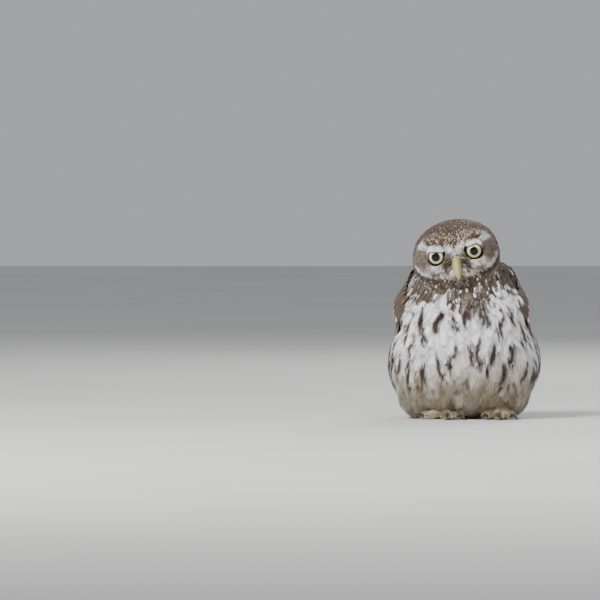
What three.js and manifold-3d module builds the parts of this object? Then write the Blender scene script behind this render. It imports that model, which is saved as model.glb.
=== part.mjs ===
// A little owl at life size, sitting fluffed up on a level floor with its head cocked.
// Millimetres, +Z up. The owl faces -Y, and its left side is at +X.
// The body is one smooth shape, a blend of ellipsoids, which thin cuts part into head, neck and torso.
// Folded wings and tail lie on that shape as tiers of overlapping feathers.
import * as THREE from "three";
import { mergeVertices } from "three/addons/utils/BufferGeometryUtils.js";
import Module from "manifold-3d";

const wasm = await Module();
wasm.setup();

// Driving sizes, in millimetres and degrees
const gap = 0.35; // clear space between neighbouring pieces
const bodyBlend = 12; // how softly the body's forms run together
const headBlend = 7;
const bodyLean = 1.5; // the whole body leans towards its right
const leanFoot = { x: 2, z: 8 }; // the line it leans about
const leanFades = { from: 24, to: 84 }; // the tail end doesn't lean
const headPlace = { x: -7.2, y: -11, z: 121.5 };
const headTurn = { pitch: 7, yaw: -3, roll: -9.5 };
const eye = { x: 13.7, y: -21.2, z: 3.8, radius: 7.7, cornea: 5.35 };
const lid = { rimOut: 0.9, rimThick: 1.0, turn: 9, thick: 1.1, slant: -0.2, leftEdge: 3.9, rightEdge: 3.0 };
const nostrilPit = { x: 3.1, y: -33, z: -4.3, radius: 0.85, stretch: 1.4 };
const tailMiddle = { y: 86, z: 23.5 };
const tailDown = 33.5; // the tail's fall below the level
const vaneThick = 0.52;
const bedGap = 0.8; // between the body and the wings' flat facets over it

const rad = THREE.MathUtils.degToRad;
const lerp = THREE.MathUtils.lerp;
const smoothstep = THREE.MathUtils.smoothstep;
const point = (x, y, z) => new THREE.Vector3(x, y, z);

// Solids and meshes

function solidFrom(geometry) {
  geometry.deleteAttribute("normal");
  geometry.deleteAttribute("uv");
  const merged = mergeVertices(geometry, 1e-3);
  const vertProperties = new Float32Array(merged.attributes.position.array);
  const triVerts = new Uint32Array(merged.index.array);
  return new wasm.Manifold(new wasm.Mesh({ numProp: 3, vertProperties, triVerts }));
}

function largestOf(solid) {
  const pieces = solid.decompose();
  pieces.sort((a, b) => b.volume() - a.volume());
  return pieces[0];
}

function joined(solids) {
  return largestOf(solids.reduce((all, next) => all.add(next)));
}

function geometryOf(solid) {
  const data = solid.getMesh();
  const geometry = new THREE.BufferGeometry();
  geometry.setAttribute("position", new THREE.BufferAttribute(new Float32Array(data.vertProperties), 3));
  geometry.setIndex(new THREE.BufferAttribute(new Uint32Array(data.triVerts), 1));
  return geometry;
}

// Corners that a cut leaves closer than a thousandth are merged before the largest piece is kept.
function meshOf(name, solid, material) {
  const merged = solidFrom(geometryOf(largestOf(solid)));
  const geometry = geometryOf(largestOf(merged));
  geometry.computeVertexNormals();
  const mesh = new THREE.Mesh(geometry, material);
  mesh.name = name;
  return mesh;
}

// A closed solid through rings of points of one count, turned to face out.
// A thin plate's rings hold its top points and then its bottom ones back again, `topCount` of each.
// Its bottom quads split the other way, so both faces match, and its ends are strips instead of fans.
function loft(rings, topCount = 0) {
  const count = rings[0].length;
  const positions = rings.flat().flatMap((p) => [p.x, p.y, p.z]);
  const faces = [];
  const quad = (a, b, c, d, mirrored) => {
    if (mirrored) faces.push([a, b, d], [b, c, d]);
    else faces.push([a, b, c], [a, c, d]);
  };
  for (let j = 0; j + 1 < rings.length; j++) {
    for (let i = 0; i < count; i++) {
      const a = j * count + i;
      const b = j * count + ((i + 1) % count);
      quad(a, b, b + count, a + count, topCount > 0 && i >= topCount);
    }
  }
  [0, rings.length - 1].forEach((j) => {
    const flip = j === 0 ? -1 : 1;
    const at = (i) => j * count + i;
    if (topCount) {
      for (let i = 0; i + 1 < topCount; i++) {
        const corners = [at(i), at(i + 1), at(count - 2 - i), at(count - 1 - i)];
        if (flip < 0) corners.reverse();
        quad(...corners, false);
      }
      return;
    }
    const middle = rings[j].reduce((sum, p) => sum.add(p), point(0, 0, 0)).divideScalar(count);
    const hub = positions.length / 3;
    positions.push(middle.x, middle.y, middle.z);
    for (let i = 0; i < count; i++) {
      const edge = [at(i), at((i + 1) % count)];
      if (flip < 0) edge.reverse();
      faces.push([hub, ...edge]);
    }
  });
  const geometry = new THREE.BufferGeometry();
  geometry.setAttribute("position", new THREE.Float32BufferAttribute(positions, 3));
  geometry.setIndex(faces.flat());
  const solid = solidFrom(geometry);
  if (solid.volume() > 0) return solid;
  geometry.setIndex(faces.map((face) => [...face].reverse()).flat());
  return solidFrom(geometry);
}

// A round bar along a smooth curve through points, with a radius for each point.
function bar(points, radii, { steps = 8, sides = 8, flatten = 1, grow = 0 } = {}) {
  const curve = new THREE.CatmullRomCurve3(points);
  const up = point(0, 0, 1);
  const rings = [];
  for (let j = 0; j <= steps; j++) {
    const t = j / steps;
    const centre = curve.getPoint(t);
    const along = curve.getTangent(t);
    const side = new THREE.Vector3().crossVectors(along, up).normalize();
    const over = new THREE.Vector3().crossVectors(side, along).normalize();
    const place = t * (radii.length - 1);
    const k = Math.min(Math.floor(place), radii.length - 2);
    const radius = lerp(radii[k], radii[k + 1], smoothstep(place - k, 0, 1)) + grow;
    const ring = [];
    for (let i = 0; i < sides; i++) {
      const angle = (2 * Math.PI * (i + 0.5)) / sides;
      const offset = side.clone().multiplyScalar(Math.cos(angle) * radius);
      offset.addScaledVector(over, Math.sin(angle) * radius * flatten);
      ring.push(centre.clone().add(offset));
    }
    rings.push(ring);
  }
  return loft(rings);
}

// The body's shape: ellipsoids run together

// One ellipsoid by its centre, half sizes, pitch about X and roll about Y.
function form(centre, halves, pitch = 0, roll = 0) {
  const turn = new THREE.Matrix4().makeRotationFromEuler(new THREE.Euler(rad(pitch), rad(roll), 0, "YXZ"));
  return { centre: point(...centre), halves, back: turn.transpose() };
}

const both = (make) => [make(1), make(-1)];

const torsoForms = [
  form([0, -10, 64], [43, 38, 36]), // breast
  form([0, -2, 39], [48, 44, 34]), // belly
  ...both((side) => form([side * 31, 4, 40], [21, 34, 34], 0, side * -4)), // flanks
  form([0, 22, 66], [39, 42, 34], -38), // back
  form([0, 54, 38], [27, 36, 17], -33), // rump
  form([0, 46, 27], [23, 30, 12], -20), // vent
  form([-1.5, -1, 83], [46.5, 34, 23]), // shoulders
  form([0, -5, 102], [38, 31, 21]), // neck
];
const tailForm = form([0, tailMiddle.y, tailMiddle.z], [21, 46, 4.6], -tailDown);
const headForms = [
  form([0, 4, 1.5], [31, 29, 23]), // cranium
  form([0, -10, -4], [27, 19, 20]), // face
  ...both((side) => form([side * 16, -10, -3], [15.5, 18, 17])), // cheeks
  ...both((side) => form([side * 11.5, -20.5, 12], [10.5, 5, 3.2], 0, side * -18)), // brows
  form([0, -24, -12], [9, 9, 7]), // bristles round the bill
  form([0, 15, -9], [28, 20, 22]), // nape
];
const eyeDishes = both((side) => form([side * 17, -40.5, 2.5], [14, 12, 10]));

// Close to the distance from p to the ellipsoid, below 0 inside it.
function distanceTo(shape, p) {
  const q = p.clone().sub(shape.centre).applyMatrix4(shape.back);
  const [a, b, c] = shape.halves;
  const near = Math.hypot(q.x / a, q.y / b, q.z / c);
  const slope = Math.hypot(q.x / a ** 2, q.y / b ** 2, q.z / c ** 2);
  return slope < 1e-9 ? -Math.min(a, b, c) : (near * (near - 1)) / slope;
}

function softMin(a, b, softness) {
  const h = Math.max(softness - Math.abs(a - b), 0) / softness;
  return Math.min(a, b) - (h * h * softness) / 4;
}

function distanceToAll(shapes, p, softness) {
  return shapes.map((shape) => distanceTo(shape, p)).reduce((a, b) => softMin(a, b, softness));
}

const leanAt = (y) => rad(bodyLean) * (1 - smoothstep(y, leanFades.from, leanFades.to));

// Turns p about the line it leans on, as far as its distance back says. `way` is 1 to lean and -1 to undo it.
function lean(p, way = 1) {
  const angle = leanAt(p.y) * way;
  const x = p.x - leanFoot.x;
  const z = p.z - leanFoot.z;
  return point(
    leanFoot.x + x * Math.cos(angle) - z * Math.sin(angle),
    p.y,
    leanFoot.z + x * Math.sin(angle) + z * Math.cos(angle),
  );
}

const headMatrix = new THREE.Matrix4()
  .makeRotationFromEuler(new THREE.Euler(rad(headTurn.pitch), rad(headTurn.roll), rad(headTurn.yaw), "YZX"))
  .setPosition(headPlace.x, headPlace.y, headPlace.z);
const headInverse = headMatrix.clone().invert();
const onHead = (x, y, z) => point(x, y, z).applyMatrix4(headMatrix);

const trunkField = (p) => distanceToAll(torsoForms, p, bodyBlend);

function headField(p) {
  const solid = distanceToAll(headForms, p, headBlend);
  return eyeDishes.reduce((field, dish) => -softMin(-field, distanceTo(dish, p), 6), solid);
}

// The whole owl without wings and tail, in the part's own frame.
function bodyField(p) {
  const trunk = trunkField(lean(p, -1));
  const head = headField(p.clone().applyMatrix4(headInverse));
  return softMin(trunk, head, 8);
}

// How far from the start, along a direction, the field reaches the level.
function reach(field, start, direction, level = 0) {
  const step = 3;
  let far = step;
  while (field(start.clone().addScaledVector(direction, far)) < level) far += step;
  let near = far - step;
  for (let i = 0; i < 14; i++) {
    const middle = (near + far) / 2;
    if (field(start.clone().addScaledVector(direction, middle)) < level) near = middle;
    else far = middle;
  }
  return (near + far) / 2;
}

// A closed surface round a centre, seen whole from it. Rings crowd towards the front by the power given.
function surfaceRound(field, centre, rings, segments, crowd = 1) {
  const geometry = new THREE.SphereGeometry(1, segments, rings);
  const places = geometry.attributes.position;
  for (let i = 0; i < places.count; i++) {
    const ball = new THREE.Vector3().fromBufferAttribute(places, i);
    const fromFront = Math.acos(THREE.MathUtils.clamp(-ball.y, -1, 1));
    const moved = Math.PI * (fromFront / Math.PI) ** crowd;
    const flat = Math.hypot(ball.x, ball.z);
    const spread = flat < 1e-6 ? 0 : Math.sin(moved) / flat;
    const direction = point(ball.x * spread, -Math.cos(moved), ball.z * spread);
    const place = centre.clone().addScaledVector(direction, reach(field, centre, direction));
    places.setXYZ(i, place.x, place.y, place.z);
  }
  return solidFrom(geometry);
}

// Materials
const paint = (color, roughness) => new THREE.MeshStandardMaterial({ color, roughness, metalness: 0 });
const streakedWhite = paint(0xb9b0a6, 0.9);
const spottedBrown = paint(0x6d5846, 0.85);
const faceGrey = paint(0xa0968a, 0.9);
const footBuff = paint(0xb3a78f, 0.9);
const billYellow = paint(0xb9b06a, 0.45);
const hornBlack = paint(0x2c2724, 0.4);
const irisYellow = paint(0xd9d26a, 0.15);

// Head, neck and torso

const neckTop = { normal: point(-0.12, -0.16, 1).normalize(), through: point(-6, -6, 101) };
const neckBottom = { normal: point(-0.08, -0.3, 1).normalize(), through: point(-4, -4, 90) };

function keepAbove(solid, plane) {
  const { normal, through } = plane;
  return solid.trimByPlane(normal.toArray(), normal.dot(through) + gap / 2);
}

function keepBelow(solid, plane) {
  const { normal, through } = plane;
  return solid.trimByPlane(normal.clone().negate().toArray(), gap / 2 - normal.dot(through));
}

function eyeBall(side, grow = 0) {
  const geometry = new THREE.SphereGeometry(eye.radius + grow, 14, 9);
  geometry.rotateX(Math.PI / 2);
  geometry.translate(side * eye.x, eye.y, eye.z);
  geometry.applyMatrix4(headMatrix);
  return solidFrom(geometry);
}

// The rim of bare skin round an eye, and the lid that cuts across its top.
function lidRim(side) {
  const rim = new THREE.TorusGeometry(eye.cornea + lid.rimOut, lid.rimThick, 4, 16);
  rim.rotateX(Math.PI / 2);
  rim.translate(0, -Math.sqrt(eye.radius ** 2 - eye.cornea ** 2) + 0.1, 0);
  rim.rotateZ(rad(side * lid.turn));
  rim.translate(side * eye.x, eye.y, eye.z);
  rim.applyMatrix4(headMatrix);
  return solidFrom(rim);
}

function upperLid(side) {
  const dome = new THREE.SphereGeometry(eye.radius + lid.thick, 14, 9);
  dome.rotateX(Math.PI / 2);
  dome.translate(side * eye.x, eye.y, eye.z);
  dome.applyMatrix4(headMatrix);
  const edge = onHead(side * eye.x, eye.y, eye.z + (side > 0 ? lid.leftEdge : lid.rightEdge));
  const slant = onHead(side * lid.slant, 0, 1).sub(onHead(0, 0, 0)).normalize();
  return solidFrom(dome).trimByPlane(slant.toArray(), slant.dot(edge));
}

// The line of the mouth is an arc round a centre inside the bill's curve.
const mouth = { y: -22.3, z: -10.5, radius: 11.9 };

// The bill's middle line in the head's frame, and its half width and half depth along it.
const billLine = [
  [0, -27, -1.5],
  [0, -31.3, -2.6],
  [0, -34.2, -5.2],
  [0, -35.4, -8.4],
  [0, -35, -11.8],
  [0, -34.1, -14.5],
];
const billHalves = [
  [3.6, 3.8],
  [3.4, 3.6],
  [3.0, 3.2],
  [2.4, 2.6],
  [1.6, 1.8],
  [0.45, 0.6],
];

function billSolid(grow = 0, deep = 0) {
  const curve = new THREE.CatmullRomCurve3(billLine.map((p) => point(...p)));
  const steps = 10;
  const sides = 10;
  const rings = [];
  for (let j = 0; j <= steps; j++) {
    const t = j / steps;
    const centre = curve.getPoint(t);
    const along = curve.getTangent(t);
    const front = new THREE.Vector3().crossVectors(along, point(1, 0, 0)).normalize();
    const place = t * (billHalves.length - 1);
    const k = Math.min(Math.floor(place), billHalves.length - 2);
    const wide = lerp(billHalves[k][0], billHalves[k + 1][0], place - k) + grow;
    const tall = lerp(billHalves[k][1], billHalves[k + 1][1], place - k) + grow;
    const start = j === 0 ? along.clone().multiplyScalar(-deep) : point(0, 0, 0);
    const end = j === steps ? along.clone().multiplyScalar(grow) : point(0, 0, 0);
    const ring = [];
    for (let i = 0; i < sides; i++) {
      const angle = (2 * Math.PI * i) / sides;
      const ridge = Math.sin(angle) > 0 ? 1 - 0.35 * Math.abs(Math.cos(angle)) : 1;
      const place3 = centre.clone().add(start).add(end);
      place3.x += Math.cos(angle) * wide;
      place3.addScaledVector(front, -Math.sin(angle) * tall * ridge);
      ring.push(place3.applyMatrix4(headMatrix));
    }
    rings.push(ring);
  }
  return loft(rings);
}

// The round block behind the line of the mouth, set back from it by a distance.
function behindMouth(setBack) {
  const radius = mouth.radius - setBack;
  const block = new THREE.CylinderGeometry(radius, radius, 20, 48);
  block.rotateZ(Math.PI / 2);
  block.translate(0, mouth.y, mouth.z);
  block.applyMatrix4(headMatrix);
  return solidFrom(block);
}

function nostril(side) {
  const pit = new THREE.SphereGeometry(nostrilPit.radius, 7, 5);
  pit.scale(1, nostrilPit.stretch, 1);
  pit.translate(side * nostrilPit.x, nostrilPit.y, nostrilPit.z);
  pit.applyMatrix4(headMatrix);
  return solidFrom(pit);
}

const headCentre = onHead(0, -2, -1);
const wholeHead = surfaceRound(bodyField, headCentre, 24, 28, 1.2);
const sockets = both((side) => eyeBall(side, gap));
const bill = billSolid();
const billTop = bill.subtract(behindMouth(-gap / 2));
const billUpper = both(nostril).reduce((solid, pit) => solid.subtract(pit), billTop);
let head = keepAbove(wholeHead, neckTop);
both((side) => lidRim(side).add(upperLid(side))).forEach((lid) => {
  head = head.add(lid);
});
[...sockets, billSolid(gap, gap)].forEach((hollow) => {
  head = head.subtract(hollow);
});

const neckCentre = point(-5, -5, 96);
const neck = keepBelow(keepAbove(surfaceRound(bodyField, neckCentre, 14, 26), neckBottom), neckTop);

const torsoCentre = point(0, 6, 56);
const wholeTorso = surfaceRound(bodyField, torsoCentre, 20, 28);

// The bed that the folded wings lie on is the trunk and the closed tail, before they lean.
// A place on it is `along` the wing's axis, and `across`, the way round from the middle of the back.
const wingStart = point(0, -24, 80);
const wingEnd = point(0, 118, 5);
const wingAxis = wingEnd.clone().sub(wingStart).normalize();
const wingUp = new THREE.Vector3().crossVectors(point(1, 0, 0), wingAxis);
const sectionStep = rad(6);
const sectionEnd = rad(150);
const sections = new Map();

const bedField = (p) => softMin(trunkField(p), distanceTo(tailForm, p), 8);

function sectionAt(side, along) {
  const key = `${side}:${along.toFixed(2)}`;
  if (!sections.has(key)) {
    const start = wingStart.clone().addScaledVector(wingAxis, along);
    const places = [];
    let across = 0;
    for (let angle = 0; angle <= sectionEnd; angle += sectionStep) {
      const ray = wingUp.clone().multiplyScalar(Math.cos(angle));
      ray.x = side * Math.sin(angle);
      const place = start.clone().addScaledVector(ray, reach(bedField, start, ray, bedGap));
      if (places.length) across += place.distanceTo(places.at(-1).place);
      places.push({ place, across });
    }
    sections.set(key, places);
  }
  return sections.get(key);
}

// The point at a height over the bed.
function overBed(side, along, across, height) {
  const places = sectionAt(side, along);
  let k = places.findIndex((one) => one.across >= across);
  k = k < 1 ? (across > 0 ? places.length - 1 : 1) : k;
  const t = (across - places[k - 1].across) / (places[k].across - places[k - 1].across);
  const place = places[k - 1].place.clone().lerp(places[k].place, t);
  const d = 0.5;
  const slope = point(
    bedField(point(place.x + d, place.y, place.z)) - bedField(point(place.x - d, place.y, place.z)),
    bedField(point(place.x, place.y + d, place.z)) - bedField(point(place.x, place.y - d, place.z)),
    bedField(point(place.x, place.y, place.z + d)) - bedField(point(place.x, place.y, place.z - d)),
  ).normalize();
  return lean(place.addScaledVector(slope, height));
}

// A smooth value through [place, value] pairs.
function through(pairs, place) {
  const k = Math.max(1, Math.min(pairs.length - 1, pairs.findIndex(([at]) => at >= place)));
  const [from, to] = [pairs[k - 1], pairs[k]];
  return lerp(from[1], to[1], smoothstep((place - from[0]) / (to[0] - from[0]), 0, 1));
}

// How wide a feather is along its length, from root to tip, as a share of its full width.
const coverShape = [[0, 0.4], [0.35, 1], [0.75, 0.95], [0.93, 0.6], [1, 0.22]];
const quillShape = [[0, 0.35], [0.3, 0.95], [0.6, 1], [0.88, 0.7], [1, 0.2]];

// One feather as a thin curved plate. Roots and tips are [along, across, height] on the bed.
// `roll` lifts the edge nearer the belly by that share of its distance from the shaft.
function vane(side, { root, tip, width, roll = 0, bow = 0, shape = coverShape, steps = 4 }) {
  const [along, across] = [tip[0] - root[0], tip[1] - root[1]];
  const length = Math.hypot(along, across);
  const rings = [];
  for (let j = 0; j <= steps; j++) {
    const u = j / steps;
    const half = (width / 2) * through(shape, u);
    const middle = [lerp(root[0], tip[0], u), lerp(root[1], tip[1], u) + bow * 4 * u * (1 - u)];
    const thick = vaneThick * (u === 1 ? 0.7 : 1);
    const place = (v, lift) => overBed(
      side,
      middle[0] - (across / length) * v * half,
      middle[1] + (along / length) * v * half,
      lerp(root[2], tip[2], u) + roll * v * half * smoothstep(u, -0.1, 0.15) + lift,
    );
    const top = [-1, 0, 1].map((v) => place(v, thick / 2));
    const under = [1, 0, -1].map((v) => place(v, -thick / 2));
    rings.push([...top, ...under]);
  }
  return loft(rings, 3);
}

// A row of feathers between a first and a last one, with each measure going evenly from one to the other.
function rowOf(side, count, first, last, same = {}) {
  return Array.from({ length: count }, (_, k) => {
    const t = count > 1 ? k / (count - 1) : 0;
    const mix = (a, b) => (Array.isArray(a) ? a.map((x, i) => lerp(x, b[i], t)) : lerp(a, b, t));
    const mixed = Object.keys(first).map((key) => [key, mix(first[key], last[key])]);
    return vane(side, { ...Object.fromEntries(mixed), ...same });
  });
}

// The wing under its feathers: a plate on the bed with thinned edges.
const coreEnds = [11, 74];
const coreThick = 1.5;
const coreEdgeThick = 0.7;
const coreBack = [[11, 56], [26, 37], [43, 21], [62, 13], [74, 11]];
const coreFront = [[11, 76], [26, 83], [43, 82], [62, 72], [74, 61]];

function wingCore(side) {
  const steps = 7;
  const acrossSteps = 5;
  const rings = [];
  for (let j = 0; j <= steps; j++) {
    const along = lerp(...coreEnds, j / steps);
    const place = (i, height) => {
      const across = lerp(through(coreBack, along), through(coreFront, along), i / acrossSteps);
      return overBed(side, along, across, height);
    };
    const indices = Array.from({ length: acrossSteps + 1 }, (_, i) => i);
    const onEdge = (i) => j === 0 || i === 0 || i === acrossSteps;
    const top = indices.map((i) => place(i, onEdge(i) ? coreEdgeThick : coreThick));
    const under = indices.reverse().map((i) => place(i, 0));
    rings.push([...top, ...under]);
  }
  return loft(rings, acrossSteps + 1);
}

function wing(side) {
  const feathers = [
    // primaries, from the outermost in
    ...rowOf(
      side, 4,
      { root: [66, 64, 1.15], tip: [147, 12, 1.5], width: 8.5, roll: 0.22 },
      { root: [62, 51, 1.15], tip: [131, 9, 2.9], width: 8.5, roll: 0.22 },
      { bow: -3, shape: quillShape, steps: 6 },
    ),
    // secondaries and tertials
    ...rowOf(
      side, 6,
      { root: [60, 43, 1.1], tip: [117, 19.5, 4.6], width: 9.5, roll: 0.2 },
      { root: [60, 15.5, 1.2], tip: [97, 4.5, 4], width: 9, roll: 0.3 },
      { shape: quillShape, steps: 5 },
    ),
    // greater coverts
    ...rowOf(
      side, 6,
      { root: [42, 78, 1], tip: [85, 59, 4.7], width: 13, roll: 0.11 },
      { root: [42, 26, 1], tip: [77, 13, 4.9], width: 13, roll: 0.11 },
    ),
    // median coverts
    ...rowOf(
      side, 5,
      { root: [26, 80, 0.9], tip: [57, 74, 4.4], width: 13.5, roll: 0.09 },
      { root: [26, 39, 0.9], tip: [56, 25, 4.4], width: 13.5, roll: 0.09 },
    ),
    // lesser coverts
    ...rowOf(
      side, 4,
      { root: [13, 74, 0.8], tip: [37, 80, 4], width: 11, roll: 0.12 },
      { root: [14, 57, 0.8], tip: [38, 42, 4], width: 11, roll: 0.12 },
    ),
  ];
  return joined([wingCore(side), ...feathers]);
}

// The tail: paired feathers under a middle pair, each lower than the last, like a low roof.
const tailPairs = 6;
const tailEnds = [-17, 37]; // the middle pair's root and tip, along the tail from its middle
const tailStep = { shorter: 1.1, lower: 0.95, rootOut: 0.9, tipOut: 3 }; // from each pair to the next
const tailOut = { root: 1, tip: 2.2 }; // the middle pair's shafts from the middle line
const tailHalfWidth = 6.2; // of one feather
const tailLift = 1.2; // the middle pair over the tail's axis
const tailRoof = 0.12; // its fall to each side
const tailAhead = point(0, Math.cos(rad(tailDown)), -Math.sin(rad(tailDown)));
const tailCut = { normal: tailAhead, through: point(0, 70, 31) };

function tailFeather(side, pair) {
  const over = pair === 0 && side > 0 ? tailStep.lower : 0;
  const steps = 7;
  const halfThick = vaneThick * 0.58;
  const rings = [];
  for (let j = 0; j <= steps; j++) {
    const u = j / steps;
    const half = tailHalfWidth * through(quillShape, u) * (u === 1 ? 1.6 : 1);
    const outwards = [tailOut.root + tailStep.rootOut * pair, tailOut.tip + tailStep.tipOut * pair];
    const middle = side * lerp(...outwards, u);
    const along = lerp(tailEnds[0], tailEnds[1] - tailStep.shorter * pair, u);
    const place = (v, lift) => {
      const x = pair === 0 ? middle + v * half : side * Math.max(side * (middle + v * half), 0.25);
      const sag = tailRoof * Math.abs(x) + tailStep.lower * pair - over;
      const start = point(x, tailMiddle.y, tailMiddle.z + tailLift - sag + lift);
      return start.addScaledVector(tailAhead, along);
    };
    const vs = [-1, 0, 1];
    const top = vs.map((v) => place(v, halfThick));
    const under = [...vs].reverse().map((v) => place(v, -halfThick));
    rings.push([...top, ...under]);
  }
  return loft(rings, 3);
}

function tail() {
  const stump = keepAbove(wholeTorso, tailCut);
  const feathers = [];
  for (let pair = 0; pair < tailPairs; pair++) feathers.push(...both((side) => tailFeather(side, pair)));
  return keepAbove(joined([stump, ...feathers]), tailCut).trimByPlane([0, 0, 1], 0);
}

// Legs and feet. Toes are [degrees outwards from ahead, length].
const footTop = 8.4;
const feet = [
  { name: "left", side: 1, x: 22, y: -15, toes: [[-24, 17], [4, 20], [32, 19], [172, 11]] },
  { name: "right", side: -1, x: -13.5, y: -15, toes: [[-27, 17], [3, 20], [64, 19], [172, 11]] },
];
const toeNames = ["inner", "middle", "outer", "hind"];
const clawLength = 9.5;
const palmHalves = [7, 7.4, 5];
const palmHeight = 4.6;
// Middle lines from the root out: the share of the length, the height and the radius.
const toeLine = [[0.1, 4.4, 3.6], [0.4, 4.8, 3.2], [0.7, 3.2, 3.3], [1.04, 2.7, 2.6]];
const clawLine = [[0, 2.9, 1.5], [0.4, 3.5, 1.25], [0.8, 2.1, 0.85], [0.93, 0.45, 0.25]];
// A leg's middle line, from the foot up: its share of the foot's x, how far back, the height and the radius.
const legLine = [[1, 1, 4, 5.8], [0.97, 5, 16, 7], [0.9, 13, 34, 9]];

function toePlace(foot, [degrees, length], out, z) {
  const angle = rad(degrees);
  const far = length * out;
  return point(foot.x + foot.side * Math.sin(angle) * far, foot.y - Math.cos(angle) * far, z);
}

function footSolid(foot, grow = 0) {
  const palm = new THREE.SphereGeometry(1, 10, 7);
  palm.scale(...palmHalves.map((half) => half + grow));
  palm.translate(foot.x, foot.y, palmHeight);
  const pieces = [solidFrom(palm)];
  foot.toes.forEach((toe) => {
    const points = toeLine.map(([share, z]) => toePlace(foot, toe, share, z));
    const radii = toeLine.map(([, , radius]) => radius);
    const ahead = toePlace(foot, toe, 1, 0).sub(toePlace(foot, toe, 0, 0)).normalize();
    const end = ahead.dot(toePlace(foot, toe, 1, 0)) + grow;
    const bone = bar(points, radii, { steps: 4, sides: 6, grow });
    pieces.push(bone.trimByPlane(ahead.clone().negate().toArray(), -end));
  });
  const whole = joined(pieces);
  return grow ? whole : whole.trimByPlane([0, 0, 1], 0).trimByPlane([0, 0, -1], -footTop);
}

function clawSolid(foot, toe) {
  const start = 1 + gap / toe[1];
  const out = clawLength / toe[1];
  const points = clawLine.map(([share, z]) => toePlace(foot, toe, start + out * share, z));
  const radii = clawLine.map(([, , radius]) => radius);
  return bar(points, radii, { steps: 5, sides: 6 }).trimByPlane([0, 0, 1], 0);
}

function legSolid(foot, grow = 0) {
  const points = legLine.map(([share, back, z]) => point(foot.x * share, foot.y + back, z));
  const radii = legLine.map(([, , , radius]) => radius);
  const shank = bar(points, radii, { steps: 4, sides: 10, grow });
  return grow ? shank : shank.trimByPlane([0, 0, 1], footTop + gap);
}

let torso = keepBelow(keepBelow(wholeTorso, neckBottom), tailCut);
feet.forEach((foot) => {
  torso = torso.subtract(legSolid(foot, gap)).subtract(footSolid(foot, 1));
});

const owl = new THREE.Group();
owl.add(
  meshOf("head", head, faceGrey),
  meshOf("neck", neck, spottedBrown),
  meshOf("torso", torso, streakedWhite),
  meshOf("tail", tail(), spottedBrown),
  meshOf("bill_upper", billUpper, billYellow),
  meshOf("bill_lower", bill.intersect(behindMouth(gap / 2)), billYellow),
);
both((side) => side).forEach((side) => {
  const word = side > 0 ? "left" : "right";
  owl.add(meshOf(`eye_${word}`, eyeBall(side), irisYellow));
  owl.add(meshOf(`wing_${word}`, wing(side), spottedBrown));
});
feet.forEach((foot) => {
  owl.add(meshOf(`leg_${foot.name}`, legSolid(foot), footBuff));
  owl.add(meshOf(`foot_${foot.name}`, footSolid(foot), footBuff));
  foot.toes.forEach((toe, k) => {
    owl.add(meshOf(`claw_${foot.name}_${toeNames[k]}`, clawSolid(foot, toe), hornBlack));
  });
});

// The origin is the middle of the whole owl's footprint, on the floor.
const whole = new THREE.Box3().setFromObject(owl);
const middle = whole.getCenter(point(0, 0, 0));
owl.position.set(-middle.x, -middle.y, 0);
const part = new THREE.Group();
part.add(owl);

export default part;
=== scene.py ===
# A little owl at life size, sitting fluffed up on a level floor with its head cocked.
# Shapes are worked out in millimetres in the owl's own frame: it faces -Y, its left side is at +X.
import math

import bpy
import numpy as np
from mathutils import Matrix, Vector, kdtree


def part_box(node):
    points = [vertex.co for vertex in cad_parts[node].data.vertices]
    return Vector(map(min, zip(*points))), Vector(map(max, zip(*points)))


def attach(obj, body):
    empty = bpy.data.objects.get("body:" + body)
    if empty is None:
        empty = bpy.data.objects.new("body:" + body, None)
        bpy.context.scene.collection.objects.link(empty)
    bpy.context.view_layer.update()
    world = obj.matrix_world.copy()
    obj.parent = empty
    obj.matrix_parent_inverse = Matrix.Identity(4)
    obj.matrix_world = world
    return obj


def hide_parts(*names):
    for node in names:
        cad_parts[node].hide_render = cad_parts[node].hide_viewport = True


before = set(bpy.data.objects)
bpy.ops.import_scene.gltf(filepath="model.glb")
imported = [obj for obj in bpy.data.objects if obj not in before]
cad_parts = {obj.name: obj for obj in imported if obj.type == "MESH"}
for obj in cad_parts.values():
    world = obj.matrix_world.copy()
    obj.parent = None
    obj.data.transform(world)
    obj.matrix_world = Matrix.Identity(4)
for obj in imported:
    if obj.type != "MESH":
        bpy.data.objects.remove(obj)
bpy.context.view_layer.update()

MM = 0.001
X, Y, Z = 0, 1, 2
SIDES = {1: "left", -1: "right"}

# Driving sizes, in millimetres and degrees
BODY_BLEND = 12
HEAD_BLEND = 7
NECK_BLEND = 8
LEG_BLEND = 5
BODY_LEAN = 1.5
LEAN_FOOT = (2, 8)
LEAN_FADES = (24, 84)
BACK_CENTRE = 14  # how far back the centre is from which the way round the body is measured
HEAD_PLACE = (-7.2, -11, 121.5)
HEAD_TURN = {"pitch": 7, "yaw": -3, "roll": -9.5}
EYE = {"x": 13.7, "y": -21.2, "z": 3.8, "radius": 7.7, "cornea": 5.35, "bulge": 6.3, "turn": 4}
LID_TOP = {1: 3.9, -1: 3.0}  # how far over the pupil's middle each upper lid comes down
LID_OPENING, LID_OUTSIDE, LID_CORNER = 5.1, 5.7, 0.5  # radii, and what the outer corner adds
BILL_LINE = [(0, -27, -1.5), (0, -31.3, -2.6), (0, -34.2, -5.2), (0, -35.4, -8.4), (0, -35, -11.8),
             (0, -34.1, -14.5)]
BILL_HALVES = [(3.6, 3.8), (3.4, 3.6), (3.0, 3.2), (2.4, 2.6), (1.6, 1.8), (0.35, 0.45)]
BILL_LOWER_END = 0.93  # the lower half stops short of the upper one's tip
MOUTH = {"y": -22.3, "z": -10.5, "radius": 11.9, "slit": 0.1}  # the line of the mouth is an arc
NOSTRIL = {"x": 2.7, "y": -33.2, "z": -3.9, "radius": 0.7, "depth": 0.45}
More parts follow.
